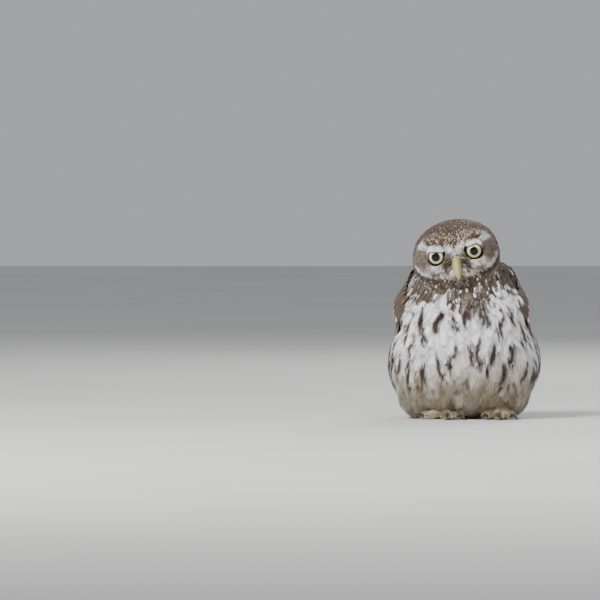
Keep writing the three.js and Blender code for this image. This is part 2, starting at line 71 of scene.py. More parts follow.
FEET = [  # a toe is its angle outwards from straight ahead and its length
    {"name": "left", "side": 1, "x": 22, "y": -15, "toes": [(-24, 17), (4, 20), (32, 19), (172, 11)]},
    {"name": "right", "side": -1, "x": -13.5, "y": -15, "toes": [(-27, 17), (3, 20), (64, 19), (172, 11)]},
]
TOE_NAMES = ["inner", "middle", "outer", "hind"]
TOE_LINE = [(0.1, 4.4, 3.6), (0.4, 4.8, 3.2), (0.7, 3.2, 3.3), (1.04, 2.7, 2.6)]  # share, height, radius
CLAW_LINE = [(-0.12, 3.0, 1.5), (0, 2.9, 1.5), (0.4, 3.5, 1.25), (0.8, 2.1, 0.85), (0.93, 0.45, 0.25)]
CLAW_LENGTH, CLAW_GAP = 9.5, 0.35
LEG_LINE = [(1, 1, 4, 5.8), (0.97, 5, 16, 7), (0.9, 13, 34, 9)]  # share of x, set back, height, radius
PALM = {"halves": (7, 7.4, 5), "z": 4.6}
DEPTH = {"body": 3.6, "crown": 1.7, "face": 1.1, "leg": 1.3}  # how deep the coat is
TAIL = {"y": 86, "z": 23.5, "down": 33.5, "ends": (-17, 37), "shorter": 1.1, "lower": 0.95,
        "root_out": (1, 0.9), "tip_out": (2.2, 3), "half": 6.2, "lift": 1.2, "roof": 0.12, "pairs": 6}
COUNTS = {"scatter": 90000, "lid": 900, "bill": 420, "toe": 520}  # random places, and small feathers at each
SEEDS = {"skin": 1, "feathers": 4396}
OVER_FLOOR = {"coat": 0.3, "wing": 0.15, "tail": 0.12, "toe": 0, "claw": 0.02, "toe_feathers": 0.1}


def smooth(x, low=0.0, high=1.0):
    t = np.clip((x - low) / (high - low), 0, 1)
    return t * t * (3 - 2 * t)


def mix(a, b, t):
    return a + (b - a) * t


def stack(*parts):
    """Numbers and arrays of like shape as one array, whose last axis runs over them."""
    return np.stack(np.broadcast_arrays(*parts), -1)


def unit(v):
    return v / np.maximum(np.linalg.norm(v, axis=-1, keepdims=True), 1e-9)


def dot(a, b):
    return np.sum(a * b, axis=-1, keepdims=True)


def across_surface(v, normal):
    """A direction laid flat on a surface."""
    return unit(v - dot(v, normal) * normal)


def over_floor(places, piece):
    places[..., Z] = np.maximum(places[..., Z], OVER_FLOOR[piece])
    return places


def turned(axis, angle):
    c, s = math.cos(math.radians(angle)), math.sin(math.radians(angle))
    j, k = (axis + 1) % 3, (axis + 2) % 3
    out = np.eye(3)
    out[j, j] = out[k, k] = c
    out[k, j], out[j, k] = s, -s
    return out


# The body's shape: ellipsoids run together

def form(centre, halves, pitch=0, roll=0):
    return np.array(centre, float), np.array(halves, float), turned(Y, roll) @ turned(X, pitch)


TORSO_FORMS = [
    form((0, -10, 64), (43, 38, 36)),
    form((0, -2, 39), (48, 44, 34)),
    form((31, 4, 40), (21, 34, 34), 0, -4),
    form((-31, 4, 40), (21, 34, 34), 0, 4),
    form((0, 22, 66), (39, 42, 34), -38),
    form((0, 54, 38), (27, 36, 17), -33),
    form((0, 46, 27), (23, 30, 12), -20),
    form((-1.5, -1, 83), (46.5, 34, 23)),
    form((0, -5, 102), (38, 31, 21)),
]
TAIL_FORM = form((0, TAIL["y"], TAIL["z"]), (21, 46, 4.6), -TAIL["down"])
HEAD_FORMS = [
    form((0, 4, 1.5), (31, 29, 23)),
    form((0, -10, -4), (27, 19, 20)),
    form((16, -10, -3), (15.5, 18, 17)),
    form((-16, -10, -3), (15.5, 18, 17)),
    form((11.5, -20.5, 12), (10.5, 5, 3.2), 0, -18),
    form((-11.5, -20.5, 12), (10.5, 5, 3.2), 0, 18),
    form((0, -24, -12), (9, 9, 7)),
    form((0, 15, -9), (28, 20, 22)),
]
EYE_DISHES = [form((side * 17, -40.5, 2.5), (14, 12, 10)) for side in SIDES]
HEAD_ROT = turned(Y, HEAD_TURN["roll"]) @ turned(Z, HEAD_TURN["yaw"]) @ turned(X, HEAD_TURN["pitch"])
HEAD_AT = np.array(HEAD_PLACE, float)


def to_head(p):
    return (p - HEAD_AT) @ HEAD_ROT


def from_head(q):
    return np.asarray(q, float) @ HEAD_ROT.T + HEAD_AT


def head_vector(v):
    return np.asarray(v, float) @ HEAD_ROT.T


def distance_to(shape, p):
    centre, halves, turn = shape
    q = (p - centre) @ turn
    near = np.sqrt(np.sum((q / halves) ** 2, axis=-1))
    slope = np.sqrt(np.sum((q / halves**2) ** 2, axis=-1))
    return np.where(slope < 1e-9, -halves.min(), near * (near - 1) / np.maximum(slope, 1e-9))


def soft_min(a, b, softness):
    h = np.maximum(softness - np.abs(a - b), 0) / softness
    return np.minimum(a, b) - h * h * softness / 4


def distance_to_all(shapes, p, softness):
    field = distance_to(shapes[0], p)
    for shape in shapes[1:]:
        field = soft_min(field, distance_to(shape, p), softness)
    return field


def lean(p, way=1):
    """Leans a place on the upright body to where it is, or back again with way -1."""
    angle = math.radians(BODY_LEAN) * (1 - smooth(p[..., Y], *LEAN_FADES)) * way
    x, z = p[..., X] - LEAN_FOOT[0], p[..., Z] - LEAN_FOOT[1]
    c, s = np.cos(angle), np.sin(angle)
    return stack(LEAN_FOOT[0] + x * c - z * s, p[..., Y], LEAN_FOOT[1] + x * s + z * c)


def bar_distance(p, points, radii):
    """Distance to a round bar through points, with a radius at each."""
    best = None
    for a, b, ra, rb in zip(points, points[1:], radii, radii[1:]):
        line = b - a
        t = np.clip((p - a) @ line / (line @ line), 0, 1)
        d = np.linalg.norm(p - a - t[..., None] * line, axis=-1) - mix(ra, rb, t)
        best = d if best is None else np.minimum(best, d)
    return best


LEGS = [(np.array([(f["x"] * share, f["y"] + back, z) for share, back, z, _ in LEG_LINE], float),
         [radius for *_, radius in LEG_LINE]) for f in FEET]


def leg_field(p):
    return np.minimum(*[bar_distance(p, points, radii) for points, radii in LEGS])


def trunk_field(p):
    return distance_to_all(TORSO_FORMS, p, BODY_BLEND)


def head_field(q):
    field = distance_to_all(HEAD_FORMS, q, HEAD_BLEND)
    for dish in EYE_DISHES:
        field = -soft_min(-field, distance_to(dish, q), 6)
    return field


def outer_field(p):
    """Height over the owl's outer surface, without wings and tail."""
    trunk = soft_min(trunk_field(lean(p, -1)), leg_field(p), LEG_BLEND)
    return soft_min(trunk, head_field(to_head(p)), NECK_BLEND)


def head_share(p):
    return smooth(trunk_field(lean(p, -1)) - distance_to_all(HEAD_FORMS, to_head(p), HEAD_BLEND), -6, 6)


def coat_depth(p):
    face = smooth(-to_head(p)[..., Y], 8, 19)
    body = mix(DEPTH["body"], DEPTH["leg"], 1 - smooth(p[..., Z], 12, 22))
    return mix(body, mix(DEPTH["crown"], DEPTH["face"], face), head_share(p))


def skin_field(p):
    """Height over the skin, which lies inside the outer surface by the coat's depth."""
    return outer_field(p) + coat_depth(p)


EYE_PLACES = {side: np.array((side * EYE["x"], EYE["y"], EYE["z"])) for side in SIDES}
EYES = {side: from_head(place) for side, place in EYE_PLACES.items()}


def on_leg(p, z):
    """1 on the legs' lower part and 0 off it."""
    return (1 - smooth(z, 11, 18)) * (1 - smooth(leg_field(p), -1, 3))


def round_body(x, y):
    """The way round the body from straight ahead, to either side, in degrees."""
    return np.degrees(np.abs(np.arctan2(x, BACK_CENTRE - y)))


def from_eye(p):
    """How far a place is from the nearer eye's middle."""
    return np.min([np.linalg.norm(p - EYES[side], axis=-1) for side in SIDES], axis=0)


def socketed_field(p):
    field = skin_field(p)
    for side in SIDES:
        field = -soft_min(-field, np.linalg.norm(p - EYES[side], axis=-1) - EYE["radius"] - 0.1, 1.6)
    return field


def gradient(field, p, d=0.5):
    steps = np.eye(3) * d
    return unit(np.stack([field(p + step) - field(p - step) for step in steps], -1))


# Meshes and their data

eye_low, eye_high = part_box("eye_left")
SHIFT = np.array((eye_low + eye_high) / 2) / MM - EYES[1]  # from the owl's own frame to the part's
LAYERS = {"vane": "FLOAT_VECTOR", "ground": "FLOAT_COLOR", "streak": "FLOAT_VECTOR", "spot": "FLOAT_VECTOR"}


def joined(parts):
    """One set of arrays from several."""
    offsets = np.cumsum([0] + [len(part["places"]) for part in parts[:-1]])
    out = {key: np.concatenate([part[key] for part in parts]) for key in parts[0]}
    out["faces"] = np.concatenate([part["faces"] + offset for part, offset in zip(parts, offsets)])
    return out


def make_piece(name, part, material, slot, replaces=()):
    """A Blender object from places in millimetres, faces of three corners and per-corner data."""
    mesh = bpy.data.meshes.new(name)
    places, faces = part["places"], part["faces"]
    mesh.vertices.add(len(places))
    mesh.vertices.foreach_set("co", ((places + SHIFT) * MM).astype(np.float32).ravel())
    mesh.loops.add(faces.size)
    mesh.loops.foreach_set("vertex_index", faces.astype(np.int32).ravel())
    mesh.polygons.add(len(faces))
    mesh.polygons.foreach_set("loop_start", np.arange(0, faces.size, 3, dtype=np.int32))
    mesh.update(calc_edges=True)
    mesh.polygons.foreach_set("use_smooth", np.full(len(faces), True))
    for key, kind in LAYERS.items():
        if key in part:
            layer = mesh.attributes.new(key, kind, "POINT")
            field = "color" if kind == "FLOAT_COLOR" else "vector"
            layer.data.foreach_set(field, part[key].astype(np.float32).ravel())
    if "uv" in part:
        layer = mesh.uv_layers.new(name="OFBake")
        layer.uv.foreach_set("vector", part["uv"][faces.ravel()].astype(np.float32).ravel())
    mesh.materials.append(material)
    piece = bpy.data.objects.new(name, mesh)
    bpy.context.scene.collection.objects.link(piece)
    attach(piece, "root")
    if replaces:
        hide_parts(*replaces)


def grid_faces(rows, columns, wrap=False):
    """Faces of a grid of corners, each row's last column joined to its first if it wraps."""
    spans = columns if wrap else columns - 1
    i, j = np.meshgrid(np.arange(rows - 1), np.arange(spans), indexing="ij")
    a = i * columns + j
    b = i * columns + (j + 1) % columns
    quads = stack(a, b, b + columns, a + columns).reshape(-1, 4)
    return np.concatenate([quads[:, [0, 1, 2]], quads[:, [0, 2, 3]]])


# Skin: rays from a line inside the body out to its surface

SKIN_LOW = np.array((0, 10, 46.0))
SKIN_HIGH = from_head((0, 0, -4))
SKIN_ROWS, SKIN_COLUMNS = 200, 300


def skin_ray(up, around):
    """The start and the direction of the ray to a place on the skin. Both measures run from 0 to 1."""
    centre = SKIN_LOW + (SKIN_HIGH - SKIN_LOW) * smooth(up, 0.3, 0.78)[..., None]
    tilt, angle = math.pi * (up - 0.5), 2 * math.pi * (around - 0.5)
    flat = np.cos(tilt)
    return centre, stack(flat * np.sin(angle), -flat * np.cos(angle), np.sin(tilt))


def skin_places():
    rows, columns = (np.arange(SKIN_ROWS) + 0.5) / SKIN_ROWS, np.arange(SKIN_COLUMNS) / SKIN_COLUMNS
    up, around = np.meshgrid(rows, columns, indexing="ij")
    centre, direction = skin_ray(up, around)
    far = np.full(up.shape, 112.0)
    for _ in range(34):
        far -= 0.85 * socketed_field(centre + direction * far[..., None])
    return over_floor(centre + direction * far[..., None], "coat")


skin_grid = skin_places()


# Colours, as sRGB bytes turned into linear light

def colour(r, g, b):
    c = np.array((r, g, b)) / 255
    return np.where(c <= 0.04045, c / 12.92, ((c + 0.055) / 1.055) ** 2.4)


WHITE = colour(247, 245, 246)
BROW_WHITE = colour(250, 248, 247)
CREAM = colour(190, 180, 158)
BUFF = colour(182, 164, 140)
GREY = colour(168, 158, 146)
FACE_GREY = colour(158, 149, 140)
# a darkened buff for the lowest belly: much of its darkness is painted shade under the belly's round
# underside
SHADED_LOW_BUFF = colour(118, 106, 78)
LEG_BUFF = colour(178, 162, 134)
FLECK = colour(178, 158, 130)
BROWN = colour(86, 68, 55)
WING_BROWN = colour(84, 64, 49)
CROWN_BROWN = colour(84, 63, 48)
DARK = colour(66, 50, 41)

# Lines in the face's plane, out and up from between the eyes, the same on both sides
BROW = [(1, 4.6), (3.9, 6.6), (6.6, 8.5), (11, 10.6), (15.3, 11.2), (21, 11.6), (28, 12)]
DISC_RIM = [(22, -9.5), (28, -7), (31.5, -2)]
MOUSTACHE = [(3.5, -9.5), (9, -11.2), (15, -12.4)]
RUFF = [(4, -16.5), (12, -15), (20, -13.2), (26, -10.8), (30.5, -6.5), (33, 1)]

# Patches of the face, one over another: colour, centre, half sizes, and share on its right and left side. The
# cheeks' brown patch is painted fuller on the left side: painted shade on that side of the face.
FACE_PATCHES = [
    (colour(226, 220, 212), (13.5, -4.5), (8, 3.4), (0.9, 0.9)),
    (colour(104, 91, 80), (25.5, 3.0), (6.5, 7), (0.6, 1)),
    # between eye and bill: painted shade in the hollow beside the bill's base
    (colour(116, 102, 80), (7.4, -1.5), (3.4, 4.6), (1, 1)),
    (colour(124, 110, 96), (17, -9.5), (4, 2.2), (0.8, 0.8)),
    (colour(98, 86, 70), (0, 1.5), (2.4, 2.2), (1, 1)),
]
FACE_LINES = [(colour(234, 227, 214), MOUSTACHE, 2.3, 1), (WHITE, DISC_RIM, 2.4, 0.95), (DARK, RUFF, 2.1, 1)]

# The breast's streaks: columns of dashes at these angles round the body
STREAKS = {"centre": 30, "apart": 7.6, "columns": 29, "length": 33, "half": 2.3, "waver": 2.6, "up": (14, 28)}
STREAK_COLUMNS = (STREAKS["apart"] * (np.arange(STREAKS["columns"]) - STREAKS["columns"] // 2)
                  + 1.8 * np.sin(7.3 * np.arange(STREAKS["columns"])))
COLLAR_END = [(-48, 94), (-33, 89), (-18, 87), (-5, 79), (8, 77), (16, 85), (27, 94), (48, 92)]
COLLAR_RAGGED = 11  # how far up and down the collar's lower edge is ragged


def paint(base, over, share):
    return mix(base, over, share[..., None])


def along_table(at, table):
    return np.interp(at, *zip(*table))


def near_line(x, z, points, half):
    """1 on a line through points in the face's plane, falling to 0 past its half width."""
    best = np.full(x.shape, 1e9)
    for (xa, za), (xb, zb) in zip(points, points[1:]):
        t = np.clip(((x - xa) * (xb - xa) + (z - za) * (zb - za)) / ((xb - xa) ** 2 + (zb - za) ** 2), 0, 1)
        best = np.minimum(best, np.hypot(x - xa - t * (xb - xa), z - za - t * (zb - za)))
    return 1 - smooth(best, half * 0.7, half * 1.25)


def near_spot(x, z, centre, halves):
    return 1 - smooth(np.hypot((x - centre[0]) / halves[0], (z - centre[1]) / halves[1]), 0.6, 1.3)


def over_brow(x, z):
    return smooth(z - along_table(x, BROW), 1.9, 2.9)


def face_colour(q):
    x, z = np.abs(q[..., X]), q[..., Z]
    # 1 on the owl's left side, where the cheeks' patch is painted darker as shade
    left = smooth(q[..., X], -8, 8)
    out = np.broadcast_to(FACE_GREY, q.shape)
    for tone, centre, halves, shares in FACE_PATCHES:
        out = paint(out, tone, near_spot(x, z, centre, halves) * mix(*shares, left))
    for tone, line, half, share in FACE_LINES:
        out = paint(out, tone, near_line(x, z, line, half) * share)
    out = paint(out, CROWN_BROWN, over_brow(x, z) * (x < 33))
    return paint(out, BROW_WHITE, near_line(x, z, BROW, 2.1))


def streaks_over(p):
    """How dark the streaks are at a place: wavering columns down the breast, as dashes with white between."""
    x, y, z = lean(p, -1).T
    front = STREAKS["centre"] - y
    turn = np.degrees(np.arctan2(x, front))
    nearest = np.argmin(np.abs(turn[:, None] - STREAK_COLUMNS), axis=1)
    waver = STREAKS["waver"] * np.sin(z * 0.13 + nearest * 2.4) + 0.8 * np.sin(z * 0.41 + nearest * 5.3)
    aside = np.radians(STREAK_COLUMNS[nearest] - turn) * np.hypot(x, front) + waver
    length = STREAKS["length"] + 6 * np.cos(nearest * 5.1)
    wave = np.sin((z + 40 * np.sin(nearest * 12.9)) * 2 * math.pi / length)
    half = (STREAKS["half"] + 0.8 * np.sin(nearest * 3.7 + z * 0.09)) * (0.5 + 0.5 * smooth(wave, -0.6, 0.8))
    shown = (1 - smooth(np.abs(aside), half * 0.65, half * 1.45)) * smooth(wave, -0.85, -0.25)
    return shown * smooth(z, *STREAKS["up"]) * (1 - head_share(p))


def marks_at(p, rng):
    """Ground colour, streak (offset, half width, strength), spot (half width, spread, count), spot length."""
    count = len(p)
    q, (x, y, z) = to_head(p), lean(p, -1).T
    chance, tone, plain, ragged, spotted, grey_and_shade_draw = rng.random((count, 6)).T
    on_head = head_share(p)
    face = smooth(-q[:, Y], 6, 16) * on_head * (1 - smooth(q[:, Z], 15, 19))
    back = smooth(round_body(x, y), 88, 112) * smooth(z, 18, 34)
    edge = z - along_table(x, COLLAR_END) + COLLAR_RAGGED * (ragged - 0.5)
    collar = smooth(edge, -1.5, 1.5) * (1 - back)
    crown = np.maximum(on_head * (1 - face), on_head * over_brow(np.abs(q[:, X]), q[:, Z]))
    ground = np.broadcast_to(WHITE, (count, 3))
    for over, share in (
        (CREAM, (1 - smooth(z, 20, 56)) * mix(0.6, 1, ragged)),
        # painted shade on a buff ground: the lowest belly grows darker towards the floor, by a random amount
        (SHADED_LOW_BUFF, (1 - smooth(z, 13, 56)) * mix(0.45, 1, grey_and_shade_draw)),
        (BUFF, (chance < 0.15) * (1 - smooth(z, 30, 70)) * 0.6),
        (mix(BROWN, GREY, 0.45 * grey_and_shade_draw[:, None] ** 2), np.maximum(collar * (plain > 0.12), back)),
        (CROWN_BROWN, on_head * (1 - face) * mix(0.75, 1, smooth(q[:, Z], -8, 6) * (1 - face))),
        (face_colour(q), face),
        (FLECK, (chance < 0.22) * crown * face * 0.9),
        (LEG_BUFF, (1 - smooth(z, 9, 15)) * (leg_field(p) < 2)),
    ):
        ground = paint(ground, over, share)
    ground = ground * ((0.8 + 0.26 * tone) * mix(1, mix(0.8, 1.35, spotted**2), collar))[:, None]
    strength = mix(0.3 * (plain < 0.15), 0.85 * (plain < 0.7), collar)
    strength = mix(strength, 0.5 * (plain < 0.5), np.maximum(back, on_head))
    # Spots are pale: round on the back, long on the crown, at the ends of the collar's feathers.
    size = mix(0.6, 1.4, tone) * (spotted < mix(0.24, 0.55, back)) * np.maximum(back, collar)
    size = mix(size * (1 - on_head), mix(0.22, 0.44, tone) * (spotted < 0.5), crown)
    long = mix(mix(2.3, 1.5, back), 2.0, on_head)
    return ground, stack(grey_and_shade_draw - 0.5, 1.0 + 0.7 * ragged, strength), stack(size, 0, 1), long


# The lie of the feathers

def trunk_lie(p):
    behind = smooth(p[..., Y], -5, 45)[..., None]
    low = (1 - smooth(p[..., Z], 12, 40))[..., None] * (1 - behind)
    return mix(np.array((0, 0.2, -1.0)), np.array((0, 0.85, -0.6)), behind) + low * np.array((0, 0.12, -0.3))


def away_from(x, z, reach):
    """Directions in the face's plane away from a place in it, weaker with distance."""
    away = stack(x, 0, z)
    far = np.linalg.norm(away, axis=-1, keepdims=True)
    return away / np.maximum(far, 1) * np.exp(-((far / reach) ** 2))


def head_lie(q):
    x, y, z = q[..., X], q[..., Y], q[..., Z]
    crown = stack(x * 0.01, (z + 6) / 30, -y / 30)
    flow = mix(stack(x * 0.004, 0.75, -0.75), crown, smooth(z, 5, 13)[..., None])
    flow = mix(flow, np.array((0, 0.1, -1.0)), (smooth(y, 12, 24) * (1 - smooth(z, 2, 10)))[..., None])
    radial = sum(away_from(x - side * EYE["x"], z - EYE["z"], 12) for side in SIDES)
    radial = radial + 1.5 * away_from(x, z + 5, 11)
    radial = radial + (1 - smooth(z, -14, -7))[..., None] * stack(x * 0.03, 0, -1)
    face = (smooth(-y, 9, 17) * (1 - smooth(z, 12, 15)))[..., None]
    return head_vector(mix(unit(flow), unit(radial + 1e-6), face))


def lie_at(p):
    return mix(unit(trunk_lie(lean(p, -1))), head_lie(to_head(p)), head_share(p)[..., None])


# Feathers

LINES = 9  # places along a feather's shaft where its lie is worked out
BEYOND = 1.3  # how far the worked-out line goes past the feather's length
PATCH = 0.003  # the size of a feather's patch in the OFBake map


def walk(roots, length, yaw, cling):
    """Shaft lines from the roots along the lie: places, directions ahead, sides, normals and heights."""
    p, heading, out = roots, None, []
    step = (length * BEYOND / (LINES - 1))[:, None]
    for _ in range(LINES):
        normal = gradient(skin_field, p)
        flow = across_surface(lie_at(p), normal)
        flow = unit(flow * np.cos(yaw)[:, None] + np.cross(normal, flow) * np.sin(yaw)[:, None])
        heading = flow if heading is None else unit(heading * 0.45 + flow * 0.55)
        out.append((p, heading, np.cross(heading, normal), normal, skin_field(p)))
        p = p + heading * step
        off = skin_field(p)[:, None]
        p = p - normal * np.where(off > 0, off * cling[:, None], off)
    return [np.stack(values, 1) for values in zip(*out)]


def outline(v):
    """A feather's half width along its length, as a share of the most."""
    blunt = 0.55
    rise = 0.28 + 0.72 * smooth(v, 0, 0.45)
    fall = np.sqrt(np.clip(1 - (np.maximum(v - blunt, 0) / (1.001 - blunt)) ** 2.2, 0, 1))
    return rise * fall


class Kind:
    """How a feather is meshed: the vane's rows and columns, and barbs a side with their segments."""

    def __init__(self, rows, columns, barbs, segments):
        self.rows, self.columns, self.barbs, self.segments = rows, columns, barbs, segments
        per_barb = 2 * segments + 1
        self.corners = rows * columns + 2 * barbs * per_barb
        strips = []
        for start in range(rows * columns, self.corners, per_barb):
            end = start + 2 * (segments - 1)
            for a in range(start, end, 2):
                strips += [(a, a + 1, a + 3), (a, a + 3, a + 2)]
            strips.append((end, end + 1, end + 2))
        self.faces = np.concatenate([grid_faces(rows, columns), np.array(strips)])

    def all_faces(self, count):
        return (self.faces + np.arange(count)[:, None, None] * self.corners).reshape(-1, 3)

    def spread(self, rng, length, half, share, fringe):
        """Places along and across, and lift, in millimetres: arrays of feather by corner."""
        count = len(length)
        v = np.linspace(0, 1, self.rows)[:, None] + np.zeros(self.columns)
        c = np.zeros((self.rows, 1)) + np.linspace(-1, 1, self.columns)
        measures = (length, half, share, fringe)
        length, half, share, fringe = (np.broadcast_to(a, count)[:, None] for a in measures)
        along = [v.ravel() * length]
        across = [(c * outline(v)).ravel() * half * share]
        raised = [np.zeros((count, v.size))]
        draw = lambda: rng.random((count, 1))
        for side in SIDES:
            for k in range(self.barbs):
                at = 0.1 + 0.88 * (k + 0.4 * draw()) / self.barbs
                angle = np.radians(mix(52, 9, at**1.1) + rng.normal(0, 3.5, (count, 1)))
                clump = np.sin(at * (9 + 7 * share) + 6.28 * draw() * 0.15 + length * 3.1)
                angle = angle * (1 + 0.16 * clump)
                room = half * outline(at) * (1 - 0.8 * share) / np.maximum(np.sin(angle), 0.4)
                far = room * (0.85 + 0.2 * draw()) + fringe * (0.3 + 0.7 * draw())
                wide = 0.56 * 0.88 * length / self.barbs * np.sin(angle) + 0.04
                s, a = at * length, side * half * share * outline(at) * 0.8
                lift = draw() * 0.35
                for j in range(self.segments + 1):
                    t = j / self.segments
                    bent = angle * (1 - 0.4 * t)
                    narrow = wide * (1 - t) ** 0.6
                    for edge in (-1, 1) if t < 1 else (0,):
                        along.append(s - edge * side * np.sin(bent) * narrow)
                        across.append(a + edge * np.cos(bent) * narrow)
                        raised.append(lift * t)
                    s = s + np.cos(bent) * far / self.segments
                    a = a + side * np.sin(bent) * far / self.segments
        return [np.concatenate([np.broadcast_to(x, (count, x.shape[-1])) for x in xs], 1)
                for xs in (along, across, raised)]


HAIR = Kind(4, 2, 3, 1)
SMALL = Kind(5, 3, 7, 1)
PLUME = Kind(8, 3, 16, 3)
COVERT = Kind(12, 5, 20, 2)
QUILL = Kind(20, 7, 34, 1)


def along_lines(lines, t):
    """The walked data at shares t of the whole line, for each corner of each feather."""
    place = np.clip(t, 0, 0.9999) * (LINES - 1)
    k = place.astype(int)
    f = place - k
    each = np.arange(len(k))[:, None]
    return [mix(data[each, k], data[each, k + 1], f if data.ndim == 2 else f[..., None]) for data in lines]


def feathers(kind, rng, places, along, across, length, half, marks, uv_at):
    """A piece's arrays for many feathers, with what each corner tells the material."""
    ground, streak, spot, long = marks
    count = len(length)
    u, v = across / half[:, None], along / length[:, None]
    each = lambda a: np.repeat(a, kind.corners, axis=0)
    scale = stack(half, half, 1)
    half_long = spot[:, :1] * long[:, None] * spot[:, 2:] / length[:, None]
    spot = spot / scale
    streak = streak / scale
    streak[:, 0] = np.clip(streak[:, 0], -0.7, 0.7)
    patch = PATCH * stack(np.clip(u, -1, 1) / 2, np.clip(v, 0, 1)).reshape(-1, 2)
    return {"places": places.reshape(-1, 3), "faces": kind.all_faces(count),
            "vane": stack(u, v, rng.random(count)[:, None]).reshape(-1, 3),
            "ground": each(np.concatenate([ground, half_long], 1)), "streak": each(streak),
            "spot": each(spot), "uv": each(uv_at) * 0.99 + PATCH + patch}


def grown(kind, rng, roots, uv_at, size, marks):
    """Feathers of one kind over the skin. size has what sizes_at gives."""
    length, half = size["length"], size["half"]
    one = lambda key: size[key][:, None]
    lines = walk(roots, length, size["yaw"], size["cling"])
    along, across, raised = kind.spread(rng, length, half, size["share"], size["fringe"])
    v = along / length[:, None]
    p, _, side, normal, over = along_lines(lines, v / BEYOND)
    rise = np.clip(v, 0, 1.2) ** 0.85 * (1 - one("curl") * smooth(v, 0.5, 1.1))
    height = mix(one("base"), one("tip"), rise) + raised * (1 - one("curl"))
    height = height - one("cup") * (across / half[:, None]) ** 2 + one("roll") * across
    p = p + side * across[..., None]
    if kind is not HAIR:
        height = height - (skin_field(p) - over)
    places = over_floor(p + normal * height[..., None], "coat")
    return feathers(kind, rng, places, along, across, length, half, marks, uv_at)


def streaks_on(part, kind, rng, count):
    """The breast's streaks at a part's corners, each feather's a little out of place."""
    shift = rng.normal(0, 1, (count, 3)) * (0.7, 0.7, 2.0)
    dark = streaks_over(part["places"] + np.repeat(shift, kind.corners, axis=0))
    return stack(0, 9, dark)


# Where feathers grow: random places on the skin, thinned to a spacing that changes over it

SPACING = {"trunk": 4.3, "neck": 3.0, "leg": 1.5, "crown": 1.45, "face": 1.0}


def spacing_at(p):
    q = to_head(p)
    face = smooth(-q[..., Y], 6, 14) * (1 - smooth(q[..., Z], 13, 17))
    trunk = mix(SPACING["trunk"], SPACING["neck"], smooth(p[..., Z], 84, 106))
    trunk = mix(trunk, SPACING["leg"], on_leg(p, p[..., Z]))
    return mix(trunk, mix(SPACING["crown"], SPACING["face"], face), head_share(p))


def scatter(rng, tries):
    """Places on the skin, and where they are on its unwrap."""
    corner = lambda i, j: skin_grid[i][:, j % SKIN_COLUMNS]
    i = np.arange(SKIN_ROWS - 1)
    j = np.arange(SKIN_COLUMNS)
    a, b, c = corner(i, j), corner(i, j + 1), corner(i + 1, j)
    area = np.linalg.norm(np.cross(b - a, c - a), axis=-1)
    weight = (area / spacing_at(a) ** 2).ravel()
    picked = rng.choice(weight.size, tries, p=weight / weight.sum())
    i, j = np.unravel_index(picked, area.shape)
    s, t = rng.random((2, tries, 1))
    grid = lambda di, dj: skin_grid[i + di, (j + dj) % SKIN_COLUMNS]
    p = mix(mix(grid(0, 0), grid(0, 1), t), mix(grid(1, 0), grid(1, 1), t), s)
    unwrap = stack((j + t[:, 0]) / SKIN_COLUMNS, (i + 0.5 + s[:, 0]) / SKIN_ROWS)
    spacing = spacing_at(p)
    tree = kdtree.KDTree(tries)
    for n, place in enumerate(p):
        tree.insert(place, n)
    tree.balance()
    free = np.ones(tries, bool)
    kept = []
    for n in range(tries):
        if free[n]:
            kept.append(n)
            free[[found for _, found, _ in tree.find_range(p[n], spacing[n] * 0.8)]] = False
    return p[kept], unwrap[kept]


